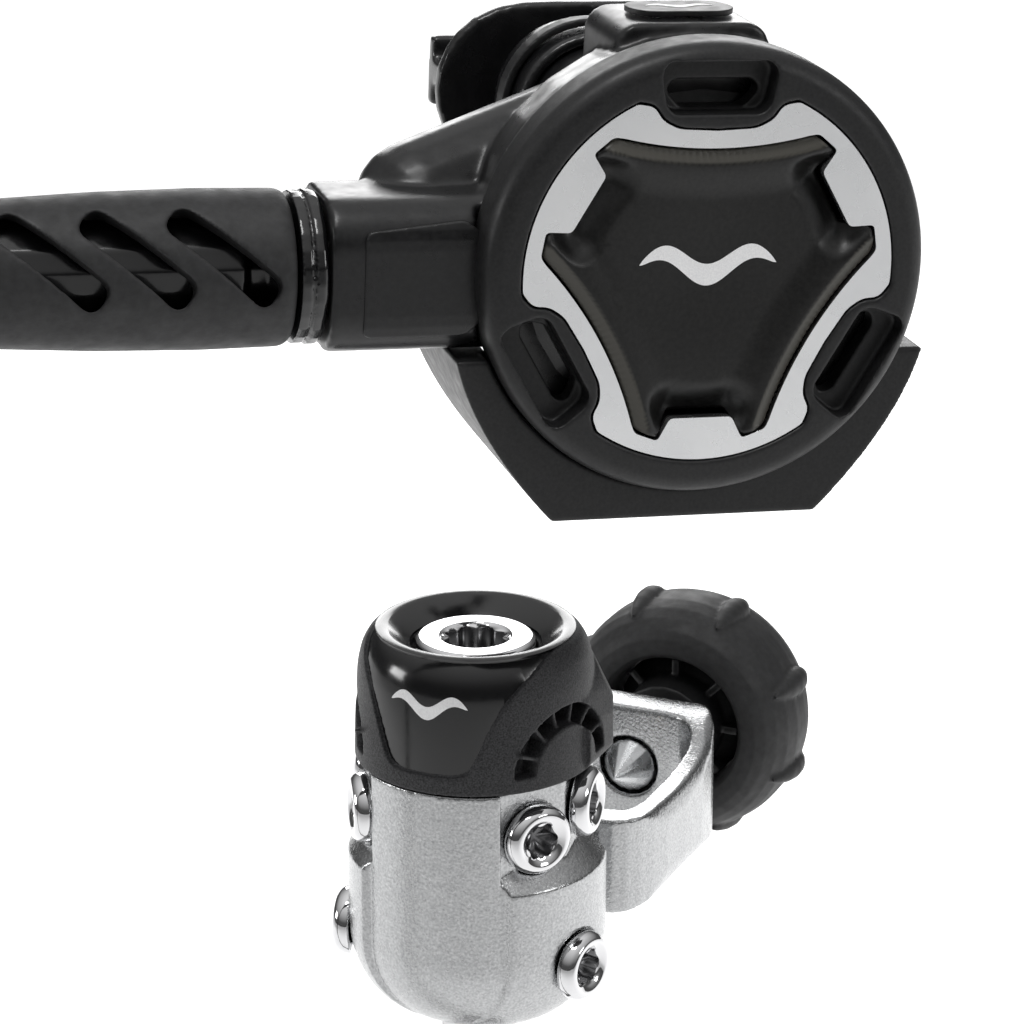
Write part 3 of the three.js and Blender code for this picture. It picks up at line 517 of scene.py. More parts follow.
def adjuster(chrome, dark):
    """The chrome adjusting plug in the cap, with an eight-lobed socket."""
    top = 51.5
    upright = BODY_AXIS @ Matrix.Rotation(math.radians(-90), 4, "X")
    rim = [(9.8, top - 8.9), (10.3, top - 8), (10.3, top - 0.6), (9.7, top), (6.3, top), (6, top - 0.3)]
    socket = [(5.15, top - 0.5, 0.55), (5.05, top - 0.7, 0.6), (5, top - 4.2, 0.6), (1, top - 4.6, 0)]
    profile = rounded_profile([(r, -z, 0) for r, z in rim], 0.35) + [(r, -z, wave) for r, z, wave in socket]
    # The socket rows take the dark material: painted shade in the socket.
    obj = turned("chrome_adjuster", profile, upright, sides=128, lobes=8, socket_rows=3)
    finish_piece(obj, chrome, "regulator", "chrome", "adjuster_plug", second=dark)


# The cover's outlines are drawn in the second stage's own frame: (across, up), in millimetres.
TRIM_R = 29.5
LOBE_R = 22.4
LOBE_HALF = 10.2
STAR_R = 26.6
STAR_WAIST = 19.2
STAR_CORNER = math.radians(37)
THIRD = 2 * math.pi / 3


def spun(point, turn):
    """A point turned about the centre."""
    u, v = point
    return (u * math.cos(turn) - v * math.sin(turn), u * math.sin(turn) + v * math.cos(turn))


def lobe_outline(offset):
    """The trim ring's outer edge: a circle that dips inwards at each of three window lobes."""
    radius, half, dip = TRIM_R + offset, LOBE_HALF - offset, LOBE_R + offset
    shoulder = math.sqrt(radius ** 2 - (half + 2.6) ** 2)
    wall_top = 26.2 + offset
    right = [(half + 2.6, shoulder), (half, wall_top), (half - 1.4, dip + 1.6), (half - 4, dip + 0.3)]
    lobe = right + [(0, dip)] + [(-u, v) for u, v in reversed(right)]
    start = math.atan2(lobe[0][1], lobe[0][0])
    before = math.atan2(lobe[-1][1], lobe[-1][0]) - THIRD
    points = []
    arc_steps = 36
    for k in range(3):
        for i in range(1, arc_steps):
            turn = before + (start - before) * i / arc_steps
            points.append(spun((radius * math.cos(turn), radius * math.sin(turn)), k * THIRD))
        points += [spun(corner, k * THIRD) for corner in lobe]
    return rounded_outline(points, 1.1)


def star_side(share, inset):
    """A point on a curved side of the purge button: share runs from -1 to 1 along it."""
    half = STAR_R * math.sin(STAR_CORNER)
    mid = STAR_WAIST - inset
    corner = STAR_R * math.cos(STAR_CORNER) - inset
    return spun((-share * half, mid + (corner - mid) * share ** 2), -THIRD)


def star_outline(inset, rounding=0.7):
    """The purge button's edge: three arms, each with a notch at its end."""
    corner = STAR_R - inset
    points = []
    side_steps = 24
    for k in range(3):
        arm = k * THIRD - math.pi / 2
        ends = [
            (-23, corner), (-14.6, corner + 0.1), (-12.4, 22.8 - inset), (12.4, 22.8 - inset),
            (14.6, corner + 0.1), (23, corner),
        ]
        for degrees, radius in ends:
            turn = arm + math.radians(degrees)
            points.append((radius * math.cos(turn), radius * math.sin(turn)))
        for i in range(1, side_steps):
            points.append(spun(star_side(2 * i / side_steps - 1, inset), k * THIRD))
    return rounded_outline(points, rounding)


def radial_hit(outline, turn):
    """How far an outline round the origin lies in a direction."""
    best = 0.0
    du, dv = math.cos(turn), math.sin(turn)
    for (au, av), (bu, bv) in zip(outline, outline[1:] + outline[:1]):
        eu, ev = bu - au, bv - av
        cross = du * ev - dv * eu
        if abs(cross) < 1e-9:
            continue
        share = (au * dv - av * du) / cross
        if -1e-6 <= share <= 1 + 1e-6:
            along = (au + eu * share) * du + (av + ev * share) * dv
            best = max(best, along)
    return best


def nearest(line, point):
    """Distance from a point to the nearest point of a line."""
    return min((Vector(point) - Vector(q)).length for q in line)


def ease(value):
    """A smooth step from 0 to 1."""
    value = min(1.0, max(0.0, value))
    return value * value * (3 - 2 * value)


def purge_depth(point, sides, notches):
    """Depth of the purge button's face: chamfers at the sides, then ridges round a dished field."""
    chamfer, ridge, edge_drop = 1.9, 0.55, 1.1
    to_side = nearest(sides, point)
    to_notch = nearest(notches, point)
    field = 2.3 - 0.5 * ease(Vector(point).length / 16)
    if to_side < chamfer:
        depth = ridge + edge_drop * (1 - to_side / chamfer)
    else:
        depth = ridge + (field - ridge) * ease((to_side - chamfer) / 6)
    pit = 2.6 * (1 - ease(to_notch / 5.5)) * ease((to_side - chamfer) / 2.2)
    return depth + pit


def purge_edges():
    """Points along the purge button's three curved sides, and inside its three notches."""
    side_steps, notch_r, notch_steps, notch_turn = 30, 22.6, 6, 2.1
    sides, notches = [], []
    for k in range(3):
        sides += [spun(star_side(2 * i / side_steps - 1, 0), k * THIRD) for i in range(side_steps + 1)]
        arm = k * THIRD - math.pi / 2
        for i in range(-notch_steps, notch_steps + 1):
            turn = arm + math.radians(notch_turn * i)
            notches.append((notch_r * math.cos(turn), notch_r * math.sin(turn)))
    return sides, notches


def purge_button(material, sides, notches):
    """The button's face in rings out to its edge, closed by a straight skirt and a flat back."""
    turns, rings, crowding = 360, 40, 0.8
    skirt_depths = (6.4, 6.5)
    outline = star_outline(0)
    around = [2 * math.pi * i / turns for i in range(turns)]
    edge = [radial_hit(outline, turn) for turn in around]
    verts = [(0, purge_depth((0, 0), sides, notches) * MM, 0)]
    for ring in range(1, rings + 1):
        share = (ring / rings) ** crowding
        for turn, reach in zip(around, edge):
            point = (reach * share * math.cos(turn), reach * share * math.sin(turn))
            verts.append((point[0] * MM, purge_depth(point, sides, notches) * MM, point[1] * MM))
    rim = verts[-turns:]
    face_points = len(verts)
    for depth in skirt_depths:
        verts += [(u, depth * MM, v) for u, _, v in rim]
    faces = [(0, 1 + i, 1 + (i + 1) % turns) for i in range(turns)]
    for ring in range(rings + 1):
        faces += band_faces(1 + (ring + 1) * turns, 1 + ring * turns, turns)
    faces.append(tuple(reversed(range(len(verts) - turns, len(verts)))))
    obj = new_object("purge_face", verts, faces, STAGE2)
    # The chamfer attribute holds the share of painted highlight along the button's three long sides, which
    # the purge material mixes in.
    mark = obj.data.attributes.new("chamfer", "FLOAT", "POINT")
    highlight_from, highlight_width = 1.75, 0.3
    for i, (u, _, v) in enumerate(verts[:face_points]):
        to_side = nearest(sides, (u / MM, v / MM))
        mark.data[i].value = 1 - ease((to_side - highlight_from) / highlight_width)
    finish_piece(obj, material, "purge", "gloss_black", "purge_button")


def trim_ring(material):
    """The silver ring: a flat band between two outlines, with a small bevel at both edges."""
    outer, inner = lobe_outline(0), star_outline(-0.5)
    bevel = 0.28
    obj = extruded_band("trim_band", outer, inner, 0.9, 2.3)
    edge = obj.modifiers.new("edges", "BEVEL")
    edge.width = bevel * MM
    edge.segments = 3
    edge.limit_method = "ANGLE"
    edge.angle_limit = math.radians(50)
    finish_piece(obj, material, "regulator", "satin_metal", "trim_ring")


def extruded_band(name, outer, inner, near, far):
    """A flat band between two closed outlines, from depth near to depth far."""
    curve = bpy.data.curves.new(name, "CURVE")
    curve.dimensions = "2D"
    curve.fill_mode = "BOTH"
    curve.extrude = (far - near) / 2 * MM
    for outline in (outer, inner):
        spline = curve.splines.new("POLY")
        spline.points.add(len(outline) - 1)
        for point, (u, v) in zip(spline.points, outline):
            point.co = (u * MM, v * MM, 0, 1)
        spline.use_cyclic_u = True
    maker = bpy.data.objects.new(name + "_maker", curve)
    bpy.context.scene.collection.objects.link(maker)
    mesh = bpy.data.meshes.new_from_object(maker.evaluated_get(bpy.context.evaluated_depsgraph_get()))
    bpy.data.objects.remove(maker)
    bpy.data.curves.remove(curve)
    stand = Matrix.Rotation(math.radians(90), 4, "X")
    place = STAGE2 @ Matrix.Translation((0, (near + far) / 2 * MM, 0)) @ stand
    mesh.transform(place)
    mesh.name = name
    obj = bpy.data.objects.new(name, mesh)
    bpy.context.scene.collection.objects.link(obj)
    weld(obj)
    return obj


def weld(obj):
    """Joins the points that a filled curve leaves double, and turns the faces out."""
    work = bmesh.new()
    work.from_mesh(obj.data)
    bmesh.ops.remove_doubles(work, verts=work.verts, dist=1e-6)
    bmesh.ops.recalc_face_normals(work, faces=work.faces)
    work.to_mesh(obj.data)
    work.free()


def hose(material, sleeve):
    """The hose, as one smooth curve of its real length."""
    points = [Vector(p) * MM for p in HOSE_ROUTE]
    line = smooth_line(points, 10)
    curve = bpy.data.curves.new("air_hose", "CURVE")
    curve.dimensions = "3D"
    curve.bevel_depth = HOSE_R
    curve.bevel_resolution = 8
    curve.use_fill_caps = True
    spline = curve.splines.new("POLY")
    spline.points.add(len(line) - 1)
    for point, place in zip(spline.points, line):
        point.co = (*place, 1)
    obj = bpy.data.objects.new("air_hose", curve)
    bpy.context.scene.collection.objects.link(obj)
    spline.use_smooth = True
    length = sum((b - a).length for a, b in zip(line, line[1:]))
    finish_piece(obj, material, "regulator", "hose_rubber", "hose")


def smooth_line(points, steps):
    """A centripetal Catmull-Rom line through the points."""
    line = []
    ends = [points[0] * 2 - points[1]] + points + [points[-1] * 2 - points[-2]]
    for a, b, c, d in zip(ends, ends[1:], ends[2:], ends[3:]):
        before, here, after = [math.sqrt((q - p).length) for p, q in ((a, b), (b, c), (c, d))]
        leave = ((b - a) / before - (c - a) / (before + here) + (c - b) / here) * here
        arrive = ((c - b) / here - (d - b) / (here + after) + (d - c) / after) * here
        for i in range(steps):
            t = i / steps
            line.append(b * (2 * t ** 3 - 3 * t ** 2 + 1) + c * (3 * t ** 2 - 2 * t ** 3)
                        + leave * (t ** 3 - 2 * t ** 2 + t) + arrive * (t ** 3 - t ** 2))
    return line + [points[-1]]


# ------------------------------------------------------------------ first stage body
BODY_R, BODY_BOTTOM, BODY_TOP = 20.5, -16.8, 30


def domed_drum(radius, seam):
    """An upright drum that curves in below its seam to a flat bottom."""
    flat, steps = 9, 20
    profile = [(flat, BODY_BOTTOM)]
    for i in range(1, steps + 1):
        turn = (1 - i / steps) * math.pi / 2
        r = flat + (radius - flat) * math.cos(turn)
        profile.append((r, seam + (BODY_BOTTOM - seam) * math.sin(turn)))
    return lathe(profile + [(radius, BODY_TOP)], "z", 160)


def rounded_rect(half_u, half_v, radius, cu=0, cv=0):
    corners = [(cu + a * half_u, cv + b * half_v) for a, b in ((1, -1), (1, 1), (-1, 1), (-1, -1))]
    return rounded_outline(corners, radius, 8)


def pressure_block(side):
    """The side block of a high-pressure port: a swelling of the drum with a sloped ledge on top."""
    front, back, outer, inner, top = 13, 12.5, 23.6, 8, 17
    ledge_lip, ledge_foot = (22, 10.8), (17, 16.4)
    block = box(*sorted((-side * front, side * back)), -outer, -inner, BODY_BOTTOM, top)
    offset = Matrix.Translation((side * 1.77 * MM, 0.3 * MM, 0))
    swell = moved(domed_drum(20.9, -1), offset)
    ledge_profile = [(ledge_lip[0], BODY_BOTTOM - 1), ledge_lip, ledge_foot, (inner - 2, ledge_foot[1])]
    ledge = moved(lathe(ledge_profile, "z", 160), offset)
    return common(common(turned_z(block, side * HIGH_PRESSURE_AZIMUTH), swell), ledge)


def port_face(azimuth):
    """Takes the flat port face off the drum, down to just under the ledge; the front pair ends in a step."""
    foot, top, half, step = 12, BODY_TOP + 1, 14, 6.9
    side = math.copysign(1, azimuth)
    front = step if abs(azimuth) < HIGH_PRESSURE_AZIMUTH else half
    outline = [(-side * front, foot), (side * half, foot), (side * half, top), (-side * front, top)]
    return turned_z(prism(outline, -40, -PORT_FACE), azimuth)


def port_bores(azimuth, height, reach):
    """A seat for a plug's head, which ends just off the port face, and the port itself."""
    outside = -30
    seat = rod(PLUG_R + 0.3, outside, 0.02 - reach, "y")
    port = rod(4.2, outside, -12.6, "y")
    lift = Matrix.Translation((0, 0, height * MM))
    return [turned_z(moved(tool, lift), azimuth) for tool in (seat, port)]


def body_casting(material):
    """The first stage's body: a drum with port faces, side blocks, and a neck towards the yoke."""
    bridge = prism(rounded_rect(15, 8, 6, 0, 10), 0, BODY_TOP, "z")
    neck = rod(12, 16, 24, "y")
    chamber = rod(14.6, 12.5, BODY_TOP + 1, "z")
    stem_bore = rod(5.2, BODY_BOTTOM - 1, 13, "z")
    inlet_bore = rod(7.6, 8, 25, "y")
    body = cut(joined(domed_drum(BODY_R, -2), bridge), *[port_face(turn) for turn in LOW_PRESSURE_AZIMUTHS])
    body = joined(body, pressure_block(1), pressure_block(-1), neck)
    cavities = [chamber, stem_bore, inlet_bore]
    for place in PLUGS.values():
        cavities += port_bores(*place)
    obj = cast(cut(body, *cavities), "body_casting", 0.3, 5, BODY_AXIS)
    finish_piece(obj, material, "regulator", "satin_metal", "first_stage_body")


# ------------------------------------------------------------------ diaphragm cap
CAP_SEAM, CAP_TOP = 30.3, 53.5
CAP_CORE = [(20.2, 25), (19.7, 46), (19, 49.6), (17.7, 52), (16.2, 53.4)]
GLOSS_LIFT = 0.06
PANEL_FRONT, PANEL_BACK = -24, -3.3
ARCH_AZIMUTHS = (74, -74)
ARCH_CENTRE = CAP_SEAM + 2.6


def panel_outline(inset):
    """The cap's polished front panel: narrow at its foot, and widening into the ring on top."""
    right = [(5, 33.5), (7.2, 34.2), (8.4, 36.5), (10.2, 41), (12.4, 46), (15.4, 50.4), (17.2, 54.4)]
    right = [(u - inset, v + inset * 0.6) for u, v in right]
    return rounded_outline(right + [(-u, v) for u, v in reversed(right)], 2, 6)


def cap_shell(material):
    """The cap's grained shell, with a fuller skirt at its back and recesses for the polished parts."""
    outer = rounded_profile([
        (20.9, CAP_SEAM), (20.8, 36), (20.2, 47), (19.4, 50.3), (18, 52.6), (16.2, CAP_TOP), (14.9, 53.1),
        (11.2, 50.3), (11.2, 48.5),
    ], 1.5)
    wing = rounded_outline([
        (-21.9, CAP_SEAM), (21.9, CAP_SEAM), (21.7, 38), (20.4, 44), (16, 49.5), (-16, 49.5), (-20.4, 44),
        (-21.7, 38),
    ], 2.5, 6)
    limit = lathe([(23.6, 20), (23.6, 40), (19, 50)], "z", 160)
    cap = joined(lathe(outer, "z", 192), common(prism(wing, -1, 15), limit))
    core = lathe(CAP_CORE + [(15.6, 54.8)], "z", 192)
    panel_recess = cut(prism(panel_outline(0), PANEL_FRONT, PANEL_BACK), core)
    adjuster_well = rod(10.7, 40, CAP_TOP + 1, "z", 128)
    chamber = rod(14.5, 20, CAP_TOP - 8, "z", 96)
    cap = cut(cap, panel_recess, adjuster_well, chamber, *[arch(azimuth) for azimuth in ARCH_AZIMUTHS])
    obj = cast(joined(cap, *arch_ribs()), "cap_shell", 0.25, 5, BODY_AXIS)
    finish_piece(obj, material, "regulator", "black_plastic", "diaphragm_cap")


def arch(azimuth):
    """The arched water port at a side of the cap, round a half-disc tab."""
    inner, outer, steps = 7.2, 10.8, 24
    sweep = [math.pi * i / steps for i in range(steps + 1)]
    outline = [(outer * math.cos(t), ARCH_CENTRE + outer * math.sin(t)) for t in sweep]
    outline += [(inner * math.cos(t), ARCH_CENTRE + inner * math.sin(t)) for t in reversed(sweep)]
    return turned_z(prism(outline, -30, -16), azimuth)


def arch_ribs():
    """The thin ribs that cross each arched port."""
    count, first, step, half = 6, 22, 27, 0.35
    lift = Matrix.Translation((0, 0, ARCH_CENTRE * MM))
    ribs = []
    for azimuth in ARCH_AZIMUTHS:
        for i in range(count):
            lean = Matrix.Rotation(-math.radians(first + step * i), 4, "Y")
            rib = moved(box(6.6, 11.4, -19.2, -15.5, -half, half), lift @ lean)
            ribs.append(turned_z(rib, azimuth))
    return ribs


def cap_gloss(material):
    """The polished ring and front panel that are let into the cap."""
    sink, sides = 0.5, 256
    out = [(r + GLOSS_LIFT, z) for r, z in CAP_CORE]
    back = [(r - sink, z - 0.3) for r, z in reversed(CAP_CORE)]
    shell = lathe(out + back + [out[0]], "z", sides)
    panel = common(shell, prism(panel_outline(0.12), PANEL_FRONT, PANEL_BACK))
    ring = [(11.3, 50.45), (14.9, 53.2), (16.15, 53.6), (17.1, 53.25), (16.9, 52.4), (11.3, 49.9)]
    obj = moved(joined(panel, lathe(ring + ring[:1], "z", sides)), BODY_AXIS)
    obj.name = "cap_gloss"
    shade_by_angle(obj, 40)
    finish_piece(obj, material, "regulator", "gloss_black")


def shade_by_angle(obj, degrees):
    """Smooth shading that leaves edges sharper than an angle crisp."""
    mesh = obj.data
    mesh.polygons.foreach_set("use_smooth", [True] * len(mesh.polygons))
    mesh.set_sharp_from_angle(angle=math.radians(degrees))


# ------------------------------------------------------------------ knob
def knob_rubber(material):
    """The knob's rubber ring, with eight studs round its rim."""
    ring = lathe([
        (13.8, 60), (14.2, 58), (15.2, 56.6), (16.8, 56), (18.6, 56), (20.4, 57), (22, 59), (23.3, 62),
        (24, 65.5), (24, 70), (23.6, 73), (22.6, 75.6), (21, 77.3), (19, 78), (16.6, 78), (14.8, 77.6),
        (13.8, 76.6), (13.8, 60),
    ], "y", 192)
    stud_profile = [(0.2, 59.4), (1.2, 61.6), (2.3, 65), (2.8, 68), (2.7, 70.5), (1.8, 73), (0.2, 74.2)]
    stud_r, count = 23.1, 8
    studs = []
    for i in range(count):
        stud = moved(lathe(stud_profile, "y", 24), Matrix.Translation((0, 0, stud_r * MM)))
        turn = 2 * math.pi * (i + 0.5) / count
        studs.append(moved(stud, Matrix.Rotation(turn, 4, "Y")))
    obj = cast(joined(ring, *studs), "knob_rubber", 0.32, 5, Matrix.Identity(4))
    finish_piece(obj, material, "knob", "black_rubber", "knob_grip")


# ------------------------------------------------------------------ second stage mouldings
def window_outline(half, low, high, rounding):
    """A window at the top of the cover, a little wider near its outer edge."""
    return rounded_outline([
        (-half, low), (half, low), (half + 1.3, low + 1.4), (half + 2.2, high - 1.5), (half + 1, high),
        (-half - 1, high), (-half - 2.2, high - 1.5), (-half - 1.3, low + 1.4),
    ], rounding, 5)


def cover_moulding(material):
    """The round cover, with beds for the trim ring and the purge button, and three windows in two steps."""
    front = rounded_profile([
        (1, 0.9), (30, 0.6), (33.2, 0.8), (34.8, 1.8), (35.5, 3.6), (35.5, 10.5), (33.2, 10.5), (33.2, 8),
        (1, 8),
    ], 1.4)
    trim_bed = prism(lobe_outline(0.25), -1, 2.5)
    button_hole = prism(star_outline(-0.5), -1, 12)
    flange_bed = prism(star_outline(-1.8, 0.4), 3.3, 12)
    tools = [trim_bed, button_hole, flange_bed]
    for k in range(3):
        spin = Matrix.Rotation(-THIRD * k, 4, "Y")
        pocket = prism(window_outline(7, 24.9, 32.9, 1.1), -1, 4.6)
        slot = prism(window_outline(5.2, 25.4, 29.6, 1), 3, 9)
        tools += [moved(pocket, spin), moved(slot, spin)]
    obj = cast(cut(lathe(front, "y", 224), *tools), "cover_moulding", 0.28, 4, STAGE2)
    finish_piece(obj, material, "regulator", "black_plastic", "cover_ring")


def tee_outline(wall, top):
    """The exhaust tee seen from the front, drawn in by a wall's thickness, up to a height."""
    chin, bottom = 21.6 - wall * 0.6, -40.6 + wall
    side = bent((38.6 - wall, -11), (36.5 - wall, -25), (chin, bottom), 16)
    right = [(33 - wall, top)] + side
    return right + [(-u, v) for u, v in reversed(right)]


def tee_moulding(material):
    """The exhaust tee: a tray round the underside of the cover and case, open at the back."""
    front, back, wall, top = 6, 41, 2.2, 14
    arm_floor = -14.1
    case_room = lathe([
        (35.8, 2), (35.8, 10.8), (35, 11.5), (35, 14.3), (33.5, 24.4), (29.4, 33.4), (22.3, 40.4), (13, 44),
    ], "y", 192)
    hollow = prism(tee_outline(wall, -6), 15.5, back + 5)
    arm_room = box(-62, -18, 2, 36, arm_floor, top)
    ends = [box(25, 45, 5, 50, arm_floor, 0), box(-45, -25, 5, 50, arm_floor, 0)]
    solid = prism(tee_outline(0, -8), front, back)
    obj = cast(cut(solid, case_room, hollow, arm_room, *ends), "tee_moulding", 0.36, 5, STAGE2)
    finish_piece(obj, material, "regulator", "black_plastic", "exhaust_tee")


# The hose's axis in the second stage's frame.
INLET = Matrix.Translation((0, 19 * MM, -1.8 * MM))


def protector_sleeve(material):
    """The tapering sleeve over the hose's end, with slanted slots through both sides."""
    outer = rounded_profile([
        (8.5, -62.5), (11.4, -62.5), (12.1, -63.8), (12.3, -76), (12, -92), (11, -112), (9.4, -124),
        (8.4, -126), (6.7, -126), (6.7, -117), (8.5, -116.6), (8.5, -62.5),
    ], 1.6)
    sleeve = lathe(outer[:-1] + [outer[0]], "x", 128)
    slots, first_slot, pitch = [], -73.5, 13
    slant = Matrix.Rotation(math.radians(40), 4, "Y")
    for k in range(3):
        along = Matrix.Translation(((first_slot - pitch * k) * MM, 0, 0))
        for round_turn in (-24, 156):
            slot = moved(prism(rounded_rect(10, 2.5, 2.3), -14, 0), slant)
            slots.append(moved(slot, along @ Matrix.Rotation(math.radians(round_turn), 4, "X")))
    obj = cast(cut(sleeve, *slots), "protector_sleeve", 0.3, 9, STAGE2 @ INLET)
    finish_piece(obj, material, "regulator", "black_rubber", "hose_protector")
    return obj


def arm_panel(material):
    """The panel that stands a little proud of the arm's front."""
    proud = prism(rounded_rect(12.3, 12.3, 7.2), -53, -33, "x")
    corners = [(-52.5, -8.5), (-36.5, -8.5), (-34, -6), (-34, 7), (-36.5, 9.5), (-52.5, 8)]
    obj = common(proud, prism(rounded_outline(corners, 1.5), -13, -4))
    cast(obj, "arm_panel", 0.22, 3, STAGE2 @ INLET)
    finish_piece(obj, material, "regulator", "black_plastic")


# ------------------------------------------------------------------ marks
def wave_mark(name, material, body, surface, width, height):
    """A plain white wave, as a thin patch that follows a surface: surface(u, v, lift) gives its points."""
    steps, lift, sink = 48, 0.07, 0.15
    swing, thickness, half_waves = 0.28, 0.26, 3
    across = [1, 0.5, 0, -0.5, -1]
    loop = 2 * len(across)
    verts, faces = [], []
    for i in range(steps + 1):
        share = i / steps
        middle = swing * height * math.sin(half_waves * math.pi * share)
        half = thickness * height * math.sin(math.pi * share) ** 0.6 + 0.01
        u = (share - 0.5) * width
        verts += [surface(u, middle + half * side, lift) for side in across]
        verts += [surface(u, middle + half * side, -sink) for side in reversed(across)]
    for i in range(steps):
        faces += band_faces(loop * i, loop * (i + 1), loop)
    faces += end_faces(loop, steps + 1)
    obj = facing_out(new_object(name, verts, faces, smooth=False))
    finish_piece(obj, material, body, "white_plastic")


def on_purge(sides, notches):
    """The purge button's face, round the middle of its mark."""
    def surface(u, v, lift):
        centre_v = 1.5
        depth = purge_depth((u, v + centre_v), sides, notches)
        return STAGE2 @ (Vector((u, depth - lift, v + centre_v)) * MM)
    return surface


def core_radius(height):
    """Radius of the cap's polished core at a height."""
    for (r0, z0), (r1, z1) in zip(CAP_CORE, CAP_CORE[1:]):
        if height <= z1:
            return r0 + (r1 - r0) * (height - z0) / (z1 - z0)
    return CAP_CORE[-1][0]


def on_cap(u, v, lift):
    """A point on the cap's polished front, round the middle of its mark."""
    mark_height = 45.6
    height = mark_height + v
    radius = core_radius(height) + GLOSS_LIFT + lift
    return BODY_AXIS @ (Vector((u, -math.sqrt(radius ** 2 - u ** 2), height)) * MM)


def on_badge(u, v, lift):
    """A point on the top plate, round the middle of its mark."""
    middle, plate_top = 23.5, 37.2
    return STAGE2 @ (Vector((u, middle + v, plate_top + lift)) * MM)


# ------------------------------------------------------------------ pieces that keep the frame's shape
# Those whose edges are rounded: material, mesh size in millimetres and rounds of smoothing.
CARRIED = {
    "yoke": ("satin_metal", 0.32, 16),
    "knob_hub": ("black_plastic", 0.35, 4),
    "second_stage_case": ("case_plastic", 0.5, 14),
    "mouthpiece": ("silicone", 0.45, 16),
    "mouthpiece_tie": ("black_plastic", 0.3, 4),
    "first_stage_hose_boot": ("black_rubber", 0.3, 8),
    "swivel_nut": ("gloss_black", 0.22, 6),
    "second_stage_ferrule": ("gloss_black", 0.25, 14),
    "first_stage_ferrule": ("chrome", 0.25, 5),
    "screw_cone": ("steel", 0.16, 6),
    "yoke_screw": ("black_plastic", 0.2, 6),
    "inlet_retainer": ("chrome", 0.2, 6),
    "top_badge": ("black_plastic", 0.12, 4),
}


def carried_pieces(materials):
    by_slot = {part["node"]: part["material_slot"] for part in frame["record"]["subparts"]}
    for node, obj in NODES.items():
        if node in CARRIED:
            material, voxel, rounds = CARRIED[node]
            fine_round(obj, voxel, rounds)
        else:
            material = by_slot[node]
        paint(obj, materials[material])


# ------------------------------------------------------------------ studio
def studio():
    floor_z = CAD_BOX[0][2] - 0.004
    size = 6.0
    floor = new_object("floor", [(-size, -size, floor_z), (size, -size, floor_z), (size, size, floor_z),
                                 (-size, size, floor_z)], [(0, 1, 2, 3)], smooth=False)
    paint(floor, floor_paint())
    bpy.context.scene.world = studio_air()
    bpy.context.scene.view_settings.view_transform = "Standard"
    area_light("key", (0.05, -0.3, 0.95), (0.02, -0.05, 0.08), 0.35, 2.8)
    area_light("left", (-0.85, -0.5, 0.25), (0.0, -0.05, 0.05), 0.3, 2.0)
    area_light("right", (0.9, -0.1, 0.45), (0.0, -0.02, 0.04), 0.3, 1.1)
    area_light("rear", (-0.46, 1.0, 0.42), (0.0, -0.02, 0.06), 0.7, 5)


def floor_paint():
    """A pale floor that glows a little, as a lit white sweep does, and less so in front of the object:
    painted light, with a painted falloff from back to front.
    """
    glowing_floor = shader("floor_paint", (0.9, 0.9, 0.9), 0.8, Emission_Color=(1, 1, 1, 1))
    nodes, links = glowing_floor.node_tree.nodes, glowing_floor.node_tree.links
    coords = nodes.new("ShaderNodeTexCoord")
    split = nodes.new("ShaderNodeSeparateXYZ")
    glow_falloff = nodes.new("ShaderNodeMapRange")
    for socket, value in (("From Min", -0.6), ("From Max", 0.3), ("To Min", 0.0), ("To Max", 0.6)):
        glow_falloff.inputs[socket].default_value = value
    links.new(coords.outputs["Object"], split.inputs["Vector"])
    links.new(split.outputs["Y"], glow_falloff.inputs["Value"])
    links.new(glow_falloff.outputs["Result"], nodes["Principled BSDF"].inputs["Emission Strength"])
    return glowing_floor


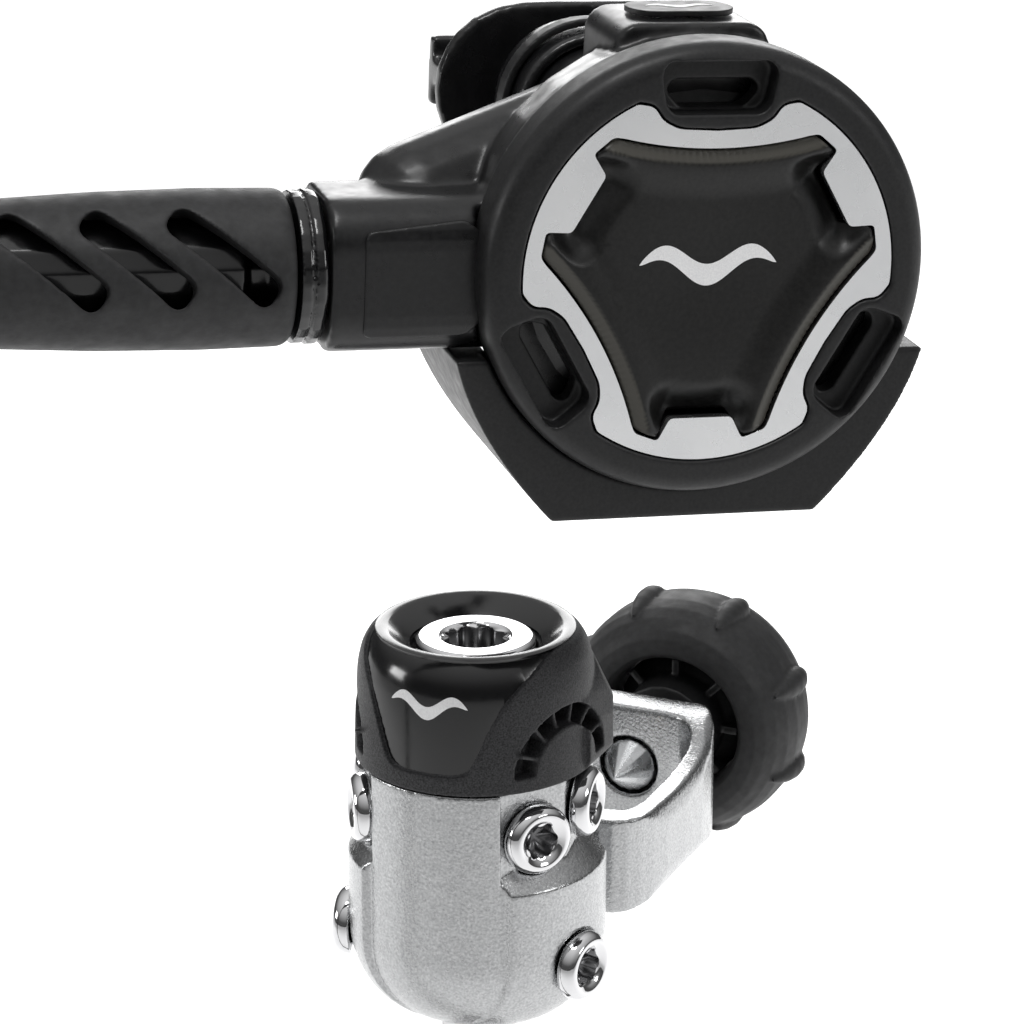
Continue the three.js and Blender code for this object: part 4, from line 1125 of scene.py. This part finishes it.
def studio_air():
    """A soft room: pale overhead, dark towards the walls, so metal has something to reflect."""
    world = bpy.data.worlds.new("studio")
    world.use_nodes = True
    nodes, links = world.node_tree.nodes, world.node_tree.links
    coords = nodes.new("ShaderNodeTexCoord")
    split = nodes.new("ShaderNodeSeparateXYZ")
    ramp = nodes.new("ShaderNodeValToRGB")
    for position, grey in ((0.0, 0.3), (0.42, 0.06), (0.6, 0.1), (1.0, 0.7)):
        stop = ramp.color_ramp.elements[0] if position == 0 else ramp.color_ramp.elements.new(position)
        stop.position = position
        stop.color = (grey, grey, grey, 1)
    ramp.color_ramp.elements[-1].color = (0.7, 0.7, 0.7, 1)
    scaled = nodes.new("ShaderNodeMapRange")
    scaled.inputs["From Min"].default_value = -1
    links.new(coords.outputs["Generated"], split.inputs["Vector"])
    links.new(split.outputs["Z"], scaled.inputs["Value"])
    links.new(scaled.outputs["Result"], ramp.inputs["Fac"])
    links.new(ramp.outputs["Color"], nodes["Background"].inputs["Color"])
    nodes["Background"].inputs["Strength"].default_value = 0.9
    return world


def area_light(name, at, towards, size, power):
    data = bpy.data.lights.new(name, "AREA")
    data.shape = "RECTANGLE"
    data.size = size
    data.size_y = size * 0.7
    data.energy = power
    light = bpy.data.objects.new(name, data)
    bpy.context.scene.collection.objects.link(light)
    light.location = at
    light.rotation_euler = (Vector(at) - Vector(towards)).to_track_quat("Z", "Y").to_euler()


# ------------------------------------------------------------------ the scene
make_camera()
materials = make_materials()
carried_pieces(materials)
body_casting(materials["satin_metal"])
cap_shell(materials["cap_plastic"])
cap_gloss(materials["gloss_black"])
for plug_name, (azimuth, height, reach) in PLUGS.items():
    port_plug(plug_name, azimuth, height, reach, materials["chrome"], materials["socket"])
adjuster(materials["chrome"], materials["socket"])
knob_rubber(materials["black_rubber"])
cover_moulding(materials["black_plastic"])
trim_ring(materials["trim_metal"])
purge_sides, purge_notches = purge_edges()
purge_button(materials["purge_plastic"], purge_sides, purge_notches)
tee_moulding(materials["black_plastic"])
hose(materials["hose_rubber"], protector_sleeve(materials["black_rubber"]))
arm_panel(materials["case_plastic"])
wave_mark("purge_mark", materials["white_ink"], "purge", on_purge(purge_sides, purge_notches), 22, 6.5)
wave_mark("cap_mark", materials["white_ink"], "regulator", on_cap, 14, 4.4)
wave_mark("badge_mark", materials["white_ink"], "regulator", on_badge, 11, 2.6)
studio()
